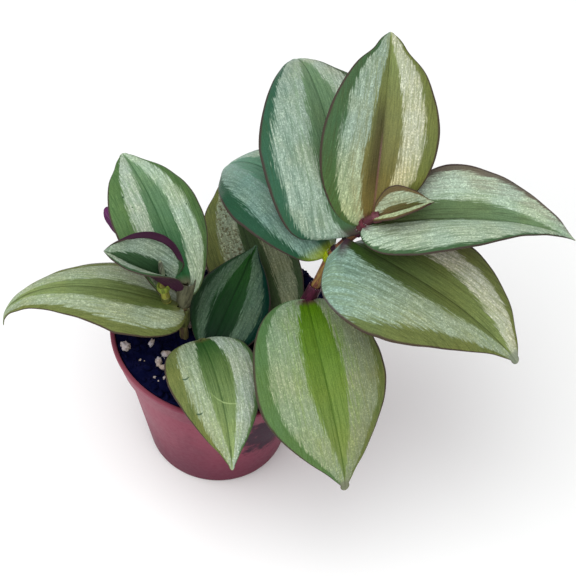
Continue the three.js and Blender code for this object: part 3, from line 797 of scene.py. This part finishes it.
def add_relief(height, leaf, s, share, half, draw):
    """Adds waves towards the edge, faint ribs, and the groove over the midrib."""
    phases = [draw.uniform(0, FULL_TURN) for _ in range(3)]
    waves = ((0.55, 2.3), (0.35, 4.1), (0.2, 7.7))
    wave = sum(size * np.sin(FULL_TURN * count * s + phase) for (size, count), phase in zip(waves, phases))
    ease = np.clip(half / 3, 0, 1)
    height = height + leaf.wave * (wave * ease)[:, None] * share[None, :] ** 3
    height = height + 0.05 * np.sin(FULL_TURN * 6 * share)[None, :] * ease[:, None] * np.clip(share * 8, 0, 1)
    return height - 0.1 * np.exp(-(share[None, :] * half[:, None] / 0.45) ** 2) * ease[:, None]


def blade_half(leaf, s, share, centre, k, draw):
    """Points of one half, and how many millimetres they lie across."""
    along, side, face = blade_axes(s, leaf)
    sign = 2 * k - 1
    half = half_width(leaf, s, k)
    out, up = half_section(leaf, s, share, k)
    height = add_relief(half[:, None] * up, leaf, s, share, half, draw)
    points = centre[:, None] + sign * side[:, None] * (half[:, None] * out)[..., None]
    points = points + face[:, None] * height[..., None]
    pull = np.array(leaf.pull) * ((1 - s) ** leaf.reach)[:, None, None]
    points = points + pull * (1 - share)[None, :, None]
    lobe = np.array([0, 0, leaf.lift * k]) - along[0] * leaf.lobes[k]
    points = points + lobe * (((1 - s) ** 9)[:, None] * share[None, :] ** 1.3)[..., None]
    return points, share[None, :] * half[:, None] * sign


def blade_surface(leaf, start):
    """Middle surface of the blade as a grid, with its shares and millimetres across and along."""
    s = (1 - np.cos(np.pi * np.arange(BLADE_ROWS + 1) / BLADE_ROWS)) / 2
    share = np.linspace(0, 1, BLADE_COLUMNS + 1)
    centre = blade_line(leaf, start, s)
    draw = random.Random(leaf.seed)
    halves = [blade_half(leaf, s, share, centre, k, draw) for k in (0, 1)]
    grid, across_mm = (np.concatenate([left[:, :0:-1], right], axis=1) for left, right in zip(*halves))
    across = np.broadcast_to(np.concatenate([-share[:0:-1], share]), across_mm.shape)
    along = np.broadcast_to(s[:, None], across_mm.shape)
    return grid, across, along, across_mm, along * leaf.length


def band_edge(values, t):
    """Smooth curve through the values at the base, the middle and the tip."""
    base, middle, tip = values
    start = base * (1 - t) * (0.45 - t) / 0.45
    return start + middle * t * (1 - t) / (0.45 * 0.55) + tip * t * (t - 0.45) / 0.55


def silver_band(across, along, look):
    """How far inside the silver band a point of the blade lies, in shares of the half."""
    inner, outer = (np.where(across < 0, band_edge(left, along), band_edge(right, along))
                    for left, right in (look.inner, look.outer))
    away = np.abs(across)
    return np.minimum(away - inner, outer - away)


def blade_loops(grid, across, along):
    """Points round the blade, row by row: upper side, right rim, underside, left rim."""
    normal = np.cross(np.gradient(grid, axis=1), np.gradient(grid, axis=0))
    normal /= np.linalg.norm(normal, axis=2, keepdims=True) + 1e-12
    thick = BLADE_THICKNESS / 2 * (1 - 0.5 * np.abs(across) ** 5) * np.clip((1.004 - along) * 12, 0.35, 1)
    rims = []
    for edge, beside in ((-1, -2), (0, 1)):
        outward = grid[:, edge] - grid[:, beside]
        outward = outward / (np.linalg.norm(outward, axis=1, keepdims=True) + 1e-12)
        rims.append((grid[:, edge] + outward * thick[:, edge, None] * 0.8)[:, None])
    top = grid + normal * thick[..., None]
    bottom = grid - normal * thick[..., None]
    return np.concatenate([top, rims[0], bottom[:, ::-1], rims[1]], axis=1)


def go_round(values, beyond=1):
    """Values of the grid for every point round the blade, those of the rims a little beyond the edge's."""
    loops = [values, values[:, -1:] * beyond, values[:, ::-1], values[:, :1] * beyond]
    return np.concatenate(loops, axis=1).reshape(-1)


def blade_end(first, columns, flip):
    """Faces that close an end of the blade, whose points are numbered from first."""
    faces = [(i, i + 1, 2 * columns - i - 1, 2 * columns - i) for i in range(columns - 1)]
    faces += [(columns - 1, columns, columns + 1), (2 * columns + 1, 2 * columns, 0)]
    return [tuple(first + i for i in face)[::1 if flip else -1] for face in faces]


def blade_mesh(leaf, start, look):
    """Closed blade with its fields, and the kind of each face."""
    grid, across, along, across_mm, along_mm = blade_surface(leaf, start)
    loops = blade_loops(grid, across, along)
    rows, sides = loops.shape[:2]
    columns = grid.shape[1]
    faces = skin(rows, sides, False)
    kinds = [UNDER if columns < i < 2 * columns else FACE for _ in range(rows - 1) for i in range(sides)]
    faces += blade_end(0, columns, True) + blade_end((rows - 1) * sides, columns, False)
    kinds += [FACE] * (len(faces) - len(kinds))
    fields = {
        "across": go_round(across, 1.03), "along": go_round(along),
        "band": go_round(silver_band(across, along, look)),
        "across_mm": go_round(across_mm), "along_mm": go_round(along_mm),
    }
    return loops.reshape(-1, 3), faces, kinds, fields


def sheath_mesh(leaf, shoot, distance):
    """Closed tube that clasps the stem, with a rounded lip."""
    start, end = leaf.sheath
    turn = math.radians(leaf.side)
    points, across_mm, along_mm = [], [], []
    for share, wall in SHEATH_SECTION:
        place = distance + start + (end - start) * share
        radius = shoot.radius(place) + SHEATH_GAP + leaf.wall * wall + leaf.flare * share
        centre, axis = shoot.at(place), shoot.axis(place)
        for angle, direction in around(axis, SHEATH_SIDES):
            toward = direction[0] * math.cos(turn) + direction[1] * math.sin(turn)
            uneven = 1 + 0.02 * math.sin(3 * angle + share * 4)
            points.append(centre + direction * radius * uneven + axis * (0.25 * toward * share ** 3))
            across_mm.append(radius * from_seam(angle))
            along_mm.append(place)
    rows, count = len(SHEATH_SECTION), len(points)
    faces = [tuple(i % count for i in face) for face in skin(rows + 1, SHEATH_SIDES, False)]
    none = np.zeros(count)
    fields = {"across": none, "along": none, "band": none - 1, "across_mm": across_mm, "along_mm": along_mm}
    return points, faces, fields


def build_leaf(name):
    leaf, look = LEAVES[name], SimpleNamespace(**{**LOOK, **LOOKS[name]})
    shoot = shoots[leaf.stem]
    distance = shoot.leaf_distance(leaf)
    points, faces, kinds, fields = blade_mesh(leaf, blade_start(leaf, shoot, distance), look)
    tube, tube_faces, tube_fields = sheath_mesh(leaf, shoot, distance)
    faces += [tuple(len(points) + i for i in face) for face in tube_faces]
    kinds += [SHEATH] * len(tube_faces)
    fields = {key: np.concatenate([values, tube_fields[key]]) for key, values in fields.items()}
    seed = leaf.seed * 17
    materials = [
        leaf_face(name, look, seed),
        leaf_under(name, look, seed),
        stem_skin(name + "_sheath", look.sheath, scaled(look.sheath, 0.7), seed),
    ]
    mesh_piece(name + "_blade", np.vstack([points, tube]), faces, materials, "leaf", [name], fields, kinds)


def build_stem(name):
    """Fleshy stem that swells a little at each leaf, with a rounded tip."""
    shoot = shoots[name]
    joints = [shoot.leaf_distance(leaf) for leaf in LEAVES.values() if leaf.stem == name and not leaf.cap]
    stops = list(np.linspace(0, shoot.length, int(shoot.length / STEM_STEP)))
    points, across_mm, along_mm = [], [], []
    for place in stops + [shoot.length + 0.12, shoot.length + 0.2]:
        radius = shoot.radius(place) * (1 + 0.05 * sum(math.exp(-((place - j) / 1.1) ** 2) for j in joints))
        if place > shoot.length:
            radius *= math.sqrt(max(0.05, 1 - ((place - shoot.length) / TIP_LENGTH) ** 2))
        centre = shoot.at(place)
        for angle, direction in around(shoot.axis(place), STEM_SIDES):
            ridge = 1 + 0.018 * math.sin(5 * angle + place * 0.1)
            points.append(centre + direction * radius * ridge)
            across_mm.append(radius * from_seam(angle))
            along_mm.append(place)
    flush = (shoot.length - 11, shoot.length - 6) if name == "stem_right" else None
    material = stem_skin(name + "_skin", *STEM_COLOURS[name], STEM_SEED, flush)
    faces = skin(len(points) // STEM_SIDES, STEM_SIDES)
    fields = {"across_mm": across_mm, "along_mm": along_mm}
    mesh_piece(name + "_skin", points, faces, [material], "stem", [name], fields)


def build_bud():
    """Rolled young leaf: a slender spindle with the step of its overlap."""
    start, end = np.array(BUD_START, float), np.array(BUD_END, float)
    axis = (end - start) / np.linalg.norm(end - start)
    points, across_mm, along_mm = [], [], []
    for share in np.linspace(0, 1, BUD_ROWS):
        wide = BUD_RADIUS * (0.35 + 0.65 * math.sin(math.pi * min(1, share * 0.9 + 0.12)) ** 0.8)
        wide *= 1 if share < 0.9 else max(0.15, (1 - share) * 10)
        for angle, direction in around(axis, BUD_SIDES):
            lap = 1 + 0.12 * ((angle / FULL_TURN + share * 0.4) % 1)
            points.append(start + (end - start) * share + direction * wide * lap)
            across_mm.append(wide * angle)
            along_mm.append(share * BUD_SEAM)
    material = stem_skin("leaf_left_bud_skin", *BUD_COLOURS, 3)
    fields = {"across_mm": across_mm, "along_mm": along_mm}
    faces = skin(BUD_ROWS, BUD_SIDES)
    mesh_piece("leaf_left_bud_spindle", points, faces, [material], "leaf", ["leaf_left_bud"], fields)


def hair(draw, centre, axis, radius):
    """Three sides and the foot of one slender hair."""
    across, other = frame_across(axis)
    angle = draw.uniform(0, FULL_TURN)
    direction = across * math.cos(angle) + other * math.sin(angle)
    root = centre + direction * radius - axis * 0.1
    grow = axis * draw.uniform(0.4, 0.8) + direction * draw.uniform(0.05, 0.4)
    tip = root + grow * draw.uniform(0.7, 1.2)
    beside = np.cross(direction, axis) * HAIR_RADIUS
    points = [root + beside, root - beside, root + direction * 0.03, tip]
    return points, [(0, 1, 3), (1, 2, 3), (2, 0, 3), (0, 2, 1)]


def build_hairs():
    """Fine pale hairs along the lip of every sheath but those at a stem's tip."""
    draw = random.Random(5)
    hairs = []
    for leaf in LEAVES.values():
        if leaf.cap:
            continue
        shoot = shoots[leaf.stem]
        place = shoot.leaf_distance(leaf) + leaf.sheath[1]
        radius = shoot.radius(place) + SHEATH_GAP + leaf.wall * 0.6 + leaf.flare
        hairs += [hair(draw, shoot.at(place), shoot.axis(place), radius) for _ in range(HAIRS)]
    m = Surface("hair")
    m.body = m.mix(m.noise(m.position(), 400), (214, 208, 200), (240, 238, 230))
    mesh_piece("sheath_hairs", *gather(hairs), [m.finish(0.5)], "leaf")


def rounded(profile, radius, steps=4):
    """Profile with its corners rounded."""
    points = [np.array(p, float) for p in profile]
    result = [points[0]]
    for before, corner, after in zip(points, points[1:], points[2:]):
        back, on = before - corner, after - corner
        reach = min(radius, 0.45 * np.linalg.norm(back), 0.45 * np.linalg.norm(on))
        first, last = (corner + way / np.linalg.norm(way) * reach for way in (back, on))
        for t in np.linspace(0, 1, steps + 1):
            result.append(first * (1 - t) ** 2 + corner * 2 * t * (1 - t) + last * t ** 2)
    return result + [points[-1]]


def turned(profile, sides):
    """Points and faces of a profile turned round Z, closed at both ends on the axis."""
    points = [p for r, z in profile[1:-1] for p in circle(r, z, sides)]
    low = len(points)
    faces = skin(low // sides, sides, False)
    for i in range(sides):
        j = (i + 1) % sides
        faces += [(low, j, i), (low + 1, low - sides + i, low - sides + j)]
    return points + [(0, 0, profile[0][1]), (0, 0, profile[-1][1])], faces


def pot_profile():
    """Half section of the pot: outside from the base up, then inside down to the floor."""
    return rounded([
        (0, 0),
        (BASE_RADIUS - BASE_ROUNDING, 0),
        (BASE_RADIUS - BASE_ROUNDING * 0.3, BASE_ROUNDING * 0.3),
        (BASE_RADIUS, BASE_ROUNDING),
        (BODY_TOP_RADIUS, COLLAR_FOOT - COLLAR_STEP),
        (COLLAR_FOOT_RADIUS, COLLAR_FOOT),
        (COLLAR_TOP_RADIUS, POT_HEIGHT - RIM_LIP - RIM_ROUNDING),
        (RIM_RADIUS, POT_HEIGHT - RIM_LIP),
        (RIM_RADIUS, POT_HEIGHT - RIM_ROUNDING),
        (RIM_RADIUS - RIM_ROUNDING, POT_HEIGHT),
        (RIM_RADIUS - POT_WALL, POT_HEIGHT),
        (COLLAR_TOP_RADIUS - POT_WALL, POT_HEIGHT - RIM_LIP),
        (COLLAR_FOOT_RADIUS - POT_WALL, COLLAR_FOOT + COLLAR_STEP),
        (BODY_TOP_RADIUS - POT_WALL, COLLAR_FOOT - COLLAR_STEP / 2),
        (BASE_RADIUS - POT_WALL, POT_FLOOR + FLOOR_ROUNDING),
        (BASE_RADIUS - FLOOR_ROUNDING - POT_WALL, POT_FLOOR),
        (0, POT_FLOOR),
    ], CORNER_ROUNDING)


def painted_leaf_shadow(m, at, x, y, z):
    """Where the painted leaf shadow lies: an uneven oval on the front, at the right."""
    away = m.hypotenuse(m.times(m.add(x, -LEAF_SHADOW_AT[0]), 0.13), m.times(m.add(z, -LEAF_SHADOW_AT[1]), 0.085))
    oval = m.step(m.add(away, m.swing(m.noise(at, 300, 4, 0.7), 2)), 0.75, 1.25, 0.95, 0)
    return m.times(oval, m.step(y, -12, -16))


def pot_plastic():
    """Rose plastic with flow marks and scuffs and a darker rim and foot; painted light makes the left paler,
    painted shade darkens the lower part, and a painted leaf shadow lies on the front.
    """
    m = Surface("pot_plastic", 0.08)
    at = m.position()
    split = m.node("SeparateXYZ", {0: at})
    x, y, z = (m.times(split.outputs[k], 1000) for k in range(3))
    broad = m.noise(at, 60, 3)
    fine = m.noise(at, 900, 3, 0.6)
    flow = m.noise(m.combine(m.times(x, 0.9), m.times(y, 0.9), m.times(z, 0.08)), 0.6)
    m.body = m.mix(m.step(broad, 0.35, 0.65), (114, 50, 68), (130, 60, 78))
    m.paint(m.step(flow, 0.45, 0.75, 0, 0.25), (142, 76, 92))
    m.paint(m.step(fine, 0.55, 0.75, 0, 0.3), (92, 40, 56))
    # Painted light: the left side is made paler, as if lit from the left.
    m.paint(m.step(x, -4, -19, 0, 0.6), (158, 94, 108))
    # Painted shade: the pot grows darker towards the bottom.
    m.paint(m.step(z, 26, 2, 0, 0.65), (84, 30, 52))
    m.paint(m.step(z, 43.4, 43.9, 0, 0.6), (100, 40, 50))
    m.paint(m.step(z, 3, 0.2, 0, 0.4), (96, 44, 60))
    # Painted shadow of the leaf that hangs over the pot's front.
    m.paint(painted_leaf_shadow(m, at, x, y, z), m.mix(m.step(fine, 0.4, 0.6), (30, 3, 28), (46, 15, 38)))
    rough = m.step(m.add(m.times(broad, 0.6), m.times(fine, 0.4)), 0.3, 0.7, 0.42, 0.6)
    return m.finish(rough, m.add(fine, m.times(flow, 0.8)), 0.08, 0.5)


def drain(pot):
    """Cuts the drainage holes through the pot's floor."""
    cutters = []
    for i in range(DRAIN_HOLES):
        turn = FULL_TURN * i / DRAIN_HOLES + DRAIN_TURN
        place = Vector((math.cos(turn) * DRAIN_CIRCLE, math.sin(turn) * DRAIN_CIRCLE, POT_FLOOR / 2)) * MM
        bpy.ops.mesh.primitive_cylinder_add(
            vertices=DRAIN_SIDES, radius=DRAIN_RADIUS * MM, depth=POT_FLOOR * 4 * MM, location=place)
        cutters.append(bpy.context.object)
        cut = pot.modifiers.new("drain", "BOOLEAN")
        cut.operation = "DIFFERENCE"
        cut.object = cutters[-1]
    shaped = bpy.data.meshes.new_from_object(pot.evaluated_get(bpy.context.evaluated_depsgraph_get()))
    pot.modifiers.clear()
    pot.data = shaped
    for cutter in cutters:
        bpy.data.objects.remove(cutter)


def build_pot():
    """Pot with its drainage holes, smooth but for its flat faces."""
    points, faces = turned(pot_profile(), POT_SIDES)
    pot = mesh_piece("pot_shell", points, faces, [pot_plastic()], "pot", ["pot"])
    drain(pot)
    for face in pot.data.polygons:
        face.use_smooth = abs(face.normal.z) < 0.995


def inside_radius(z):
    if z < COLLAR_FOOT:
        share = (z - POT_FLOOR) / (COLLAR_FOOT - POT_FLOOR)
        return BASE_RADIUS - POT_WALL + (BODY_TOP_RADIUS - BASE_RADIUS) * share
    share = (z - COLLAR_FOOT - COLLAR_STEP) / (COLLAR_HEIGHT - COLLAR_STEP - RIM_LIP)
    return COLLAR_FOOT_RADIUS - POT_WALL + (COLLAR_TOP_RADIUS - COLLAR_FOOT_RADIUS) * min(1, share)


def soil_surface(x, y):
    """Height of the soil with its lumps, its heap and its fine relief."""
    waves = (math.sin(x * 0.9 + y * 0.5) * math.cos(y * 0.75 - x * 0.3)
             + 0.7 * math.sin(x * 0.35 - y * 1.3 + 1) * math.sin(y * 0.4 + 2))
    away = math.hypot(x - HEAP_AT[0], y - HEAP_AT[1]) / HEAP_REACH
    fine = noise.fractal(Vector((x, y, 3)) * 0.9, 1.0, 2.2, 4)
    return SOIL_LEVEL + LUMP_HEIGHT * waves + HEAP_HEIGHT * math.exp(-away * away) + RELIEF_HEIGHT * fine


SOIL_EDGE = inside_radius(SOIL_LEVEL - 0.4) - SOIL_GAP


def soil_look():
    """Almost black soil with a few grey specks."""
    m = Surface("soil", 0.05)
    at = m.position()
    broad = m.noise(at, 320, 3)
    fine = m.noise(at, 1500, 3, 0.7)
    m.body = m.mix(m.step(broad, 0.35, 0.65), (2, 5, 36), (10, 12, 44))
    m.paint(m.step(fine, 0.6, 0.8, 0, 0.6), (46, 40, 50))
    return m.finish(m.step(fine, 0.3, 0.7, 0.95, 0.75), m.add(fine, broad), 0.4, 0.8)


def soil_bed():
    """Rows of points up the side of the soil and over its surface to the middle."""
    levels = ((POT_FLOOR + 0.9, 1), (COLLAR_FOOT - 0.9, 2), (COLLAR_FOOT + 1.8, 2), (SOIL_LEVEL - 1.6, 1))
    points = circle(inside_radius(POT_FLOOR) - 1.2, POT_FLOOR + 0.1, SOIL_SIDES)
    for z, gaps in levels:
        points += circle(inside_radius(z) - SOIL_GAP * gaps, z, SOIL_SIDES)
    for ring in range(SOIL_RINGS):
        drop = 0.25 if ring == 0 else 0
        ground = circle(SOIL_EDGE * (1 - ring / SOIL_RINGS), 0, SOIL_SIDES)
        points += [(x, y, soil_surface(x, y) - drop) for x, y, _ in ground]
    return points, skin(len(points) // SOIL_SIDES, SOIL_SIDES)


def ball(subdivisions):
    bpy.ops.mesh.primitive_ico_sphere_add(subdivisions=subdivisions, radius=1)
    made = bpy.context.object
    shape = [v.co.copy() for v in made.data.vertices], [tuple(p.vertices) for p in made.data.polygons]
    bpy.data.objects.remove(made)
    return shape


CRUMB_BALL = ball(2)
GRAIN_BALL = ball(3)


def crumb(draw, centre, size, stretch, shape=CRUMB_BALL, jitter=0.28):
    """One irregular crumb or grain."""
    turn = Matrix.Rotation(draw.uniform(0, 6.3), 3, "Z") @ Matrix.Rotation(draw.uniform(0, 6.3), 3, "X")
    flat = [draw.uniform(0.7, 1.15) for _ in range(3)]
    flat[0] *= stretch
    offset = Vector((draw.uniform(0, 90), 0, 0))
    points = []
    for p in shape[0]:
        grown = p * (1 + jitter * noise.noise(p * 1.7 + offset) * 1.6)
        moved = turn @ Vector((grown.x * flat[0], grown.y * flat[1], grown.z * flat[2])) * size
        points.append(tuple(Vector(centre) + moved))
    return points, shape[1]


def spot_in_disc(draw, radius):
    """Random place on a disc, and its distance from the middle."""
    turn, away = draw.uniform(0, FULL_TURN), radius * math.sqrt(draw.random())
    return away * math.cos(turn), away * math.sin(turn), away


def strewn_crumbs(draw):
    """Crumbs all over the soil, clear of the stems that stand in it."""
    stems = [points[1] for points in SHOOTS.values() if points[0][2] < SOIL_LEVEL]
    crumbs = []
    while len(crumbs) < CRUMBS:
        x, y, away = spot_in_disc(draw, SOIL_EDGE - 0.8)
        if any(math.hypot(x - stem[0], y - stem[1]) < STEM_CLEARANCE for stem in stems):
            continue
        size = min(draw.choice(CRUMB_SIZES) * draw.uniform(0.8, 1.2), SOIL_EDGE - away)
        centre = (x, y, soil_surface(x, y) + size * 0.2)
        crumbs.append(crumb(draw, centre, size, draw.choice((1, 1, 1, 1.8))))
    return crumbs


def banked_crumbs(draw):
    """Crumbs heaped against the wall, lower towards both ends and the middle of the pot."""
    crumbs = []
    for _ in range(BANK_CRUMBS):
        turn, away = draw.gauss(BANK_TURN, 10), draw.uniform(BANK_NEAR, BANK_FAR)
        x, y = away * math.cos(math.radians(turn)), away * math.sin(math.radians(turn))
        size = draw.uniform(0.4, 1)
        top = BANK_TOP - 1.2 * (BANK_FAR - away) / 5 - ((turn - BANK_TURN) / 16) ** 2
        low = soil_surface(x, y)
        if top > low and away < SOIL_EDGE - size * 0.6:
            crumbs.append(crumb(draw, (x, y, draw.uniform(low, top)), size, draw.choice((1, 1, 1.6))))
    return crumbs


def build_soil():
    """Crumbly bed of potting soil that fills the pot."""
    look = soil_look()
    mesh_piece("soil_bed", *soil_bed(), [look], "soil", ["soil"])
    draw = random.Random(21)
    mesh_piece("soil_crumbs", *gather(strewn_crumbs(draw) + banked_crumbs(draw)), [look], "soil")


def grain_places(draw):
    """The grains that are seen, and others over the soil, small ones where it is in full view."""
    places = list(SEEN_GRAINS)
    for _ in range(MORE_GRAINS):
        x, y, _ = spot_in_disc(draw, GRAIN_REACH)
        if x < -6 and y < -2:
            places.append((x, y, draw.uniform(0.1, 0.22)))
        else:
            places.append((x, y, draw.choice(GRAIN_SIZES) * draw.uniform(0.8, 1.2)))
    return places


def perlite_look():
    """Off-white stone with dark pits."""
    m = Surface("perlite", 0.3)
    at = m.position()
    broad = m.noise(at, 250)
    pits = m.noise(at, 2200, 3, 0.7)
    m.body = m.mix(m.step(broad, 0.4, 0.6), (188, 182, 184), (170, 154, 140))
    m.paint(m.step(pits, 0.5, 0.7, 0, 0.55), (122, 108, 104))
    return m.finish(m.step(pits, 0.3, 0.7, 0.8, 0.95), pits, 0.3, 0.8)


def build_perlite():
    """Pale perlite grains lying in the soil."""
    draw = random.Random(8)
    grains = []
    for x, y, size in grain_places(draw):
        size = min(size, GRAIN_LIMIT - math.hypot(x, y))
        centre = (x, y, soil_surface(x, y) + size * 0.45)
        grains.append(crumb(draw, centre, size, draw.uniform(0.9, 1.4), GRAIN_BALL, 0.42))
    mesh_piece("perlite_grains", *gather(grains), [perlite_look()], "soil")


def build_floor():
    floor_mesh = bpy.data.meshes.new("floor")
    corners = [(x * FLOOR_REACH, y * FLOOR_REACH, 0) for x, y in ((-1, -1), (1, -1), (1, 1), (-1, 1))]
    floor_mesh.from_pydata(corners, [], [(0, 1, 2, 3)])
    floor = add_object("floor", floor_mesh)
    m = Surface("floor")
    m.body = (250, 250, 250)
    floor_mesh.materials.append(m.finish(0.9))


def build_studio():
    """White surroundings that light the plant from all sides."""
    world = bpy.data.worlds.new("studio")
    world.use_nodes = True
    background = world.node_tree.nodes["Background"]
    background.inputs["Color"].default_value = (1, 1, 1, 1)
    background.inputs["Strength"].default_value = 0.61
    bpy.context.scene.world = world


def softbox(name, place, size, power, colour):
    """Round soft light that points at the plant."""
    light = bpy.data.lights.new(name, "AREA")
    light.shape = "DISK"
    light.size = size
    light.energy = power
    light.color = colour
    lamp = add_object(name, light)
    lamp.location = place
    lamp.rotation_euler = (Vector(LIGHT_AIM) - Vector(place)).to_track_quat("-Z", "Y").to_euler()


def build_camera():
    """Camera that looks down on the plant, turned a little about its own axis."""
    back = Vector((0, -math.cos(CAMERA_ELEVATION), math.sin(CAMERA_ELEVATION)))
    level_right = Vector((1, 0, 0))
    level_up = Vector((0, math.sin(CAMERA_ELEVATION), math.cos(CAMERA_ELEVATION)))
    right = level_right * math.cos(CAMERA_ROLL) + level_up * math.sin(CAMERA_ROLL)
    up = level_up * math.cos(CAMERA_ROLL) - level_right * math.sin(CAMERA_ROLL)
    place = (Vector(CAMERA_TARGET) + back * CAMERA_DISTANCE) * MM
    data = bpy.data.cameras.new("camera")
    data.lens = 100
    data.sensor_width = 36
    data.clip_start = 0.01
    data.clip_end = 20
    camera = add_object("camera", data)
    camera.matrix_world = Matrix.Translation(place) @ Matrix((right, up, back)).transposed().to_4x4()
    bpy.context.scene.camera = camera


build_pot()
build_soil()
build_perlite()
for stem in SHOOTS:
    build_stem(stem)
for leaf_name in LEAVES:
    build_leaf(leaf_name)
build_bud()
build_hairs()
build_floor()
build_studio()
softbox("key", (-0.28, -0.2, 0.7), 1, 5.1, (0.97, 1, 1))
softbox("fill", (0.3, -0.5, 0.5), 0.5, 0.9, (1, 0.97, 0.9))
build_camera()
bpy.context.scene.view_settings.view_transform = "Standard"
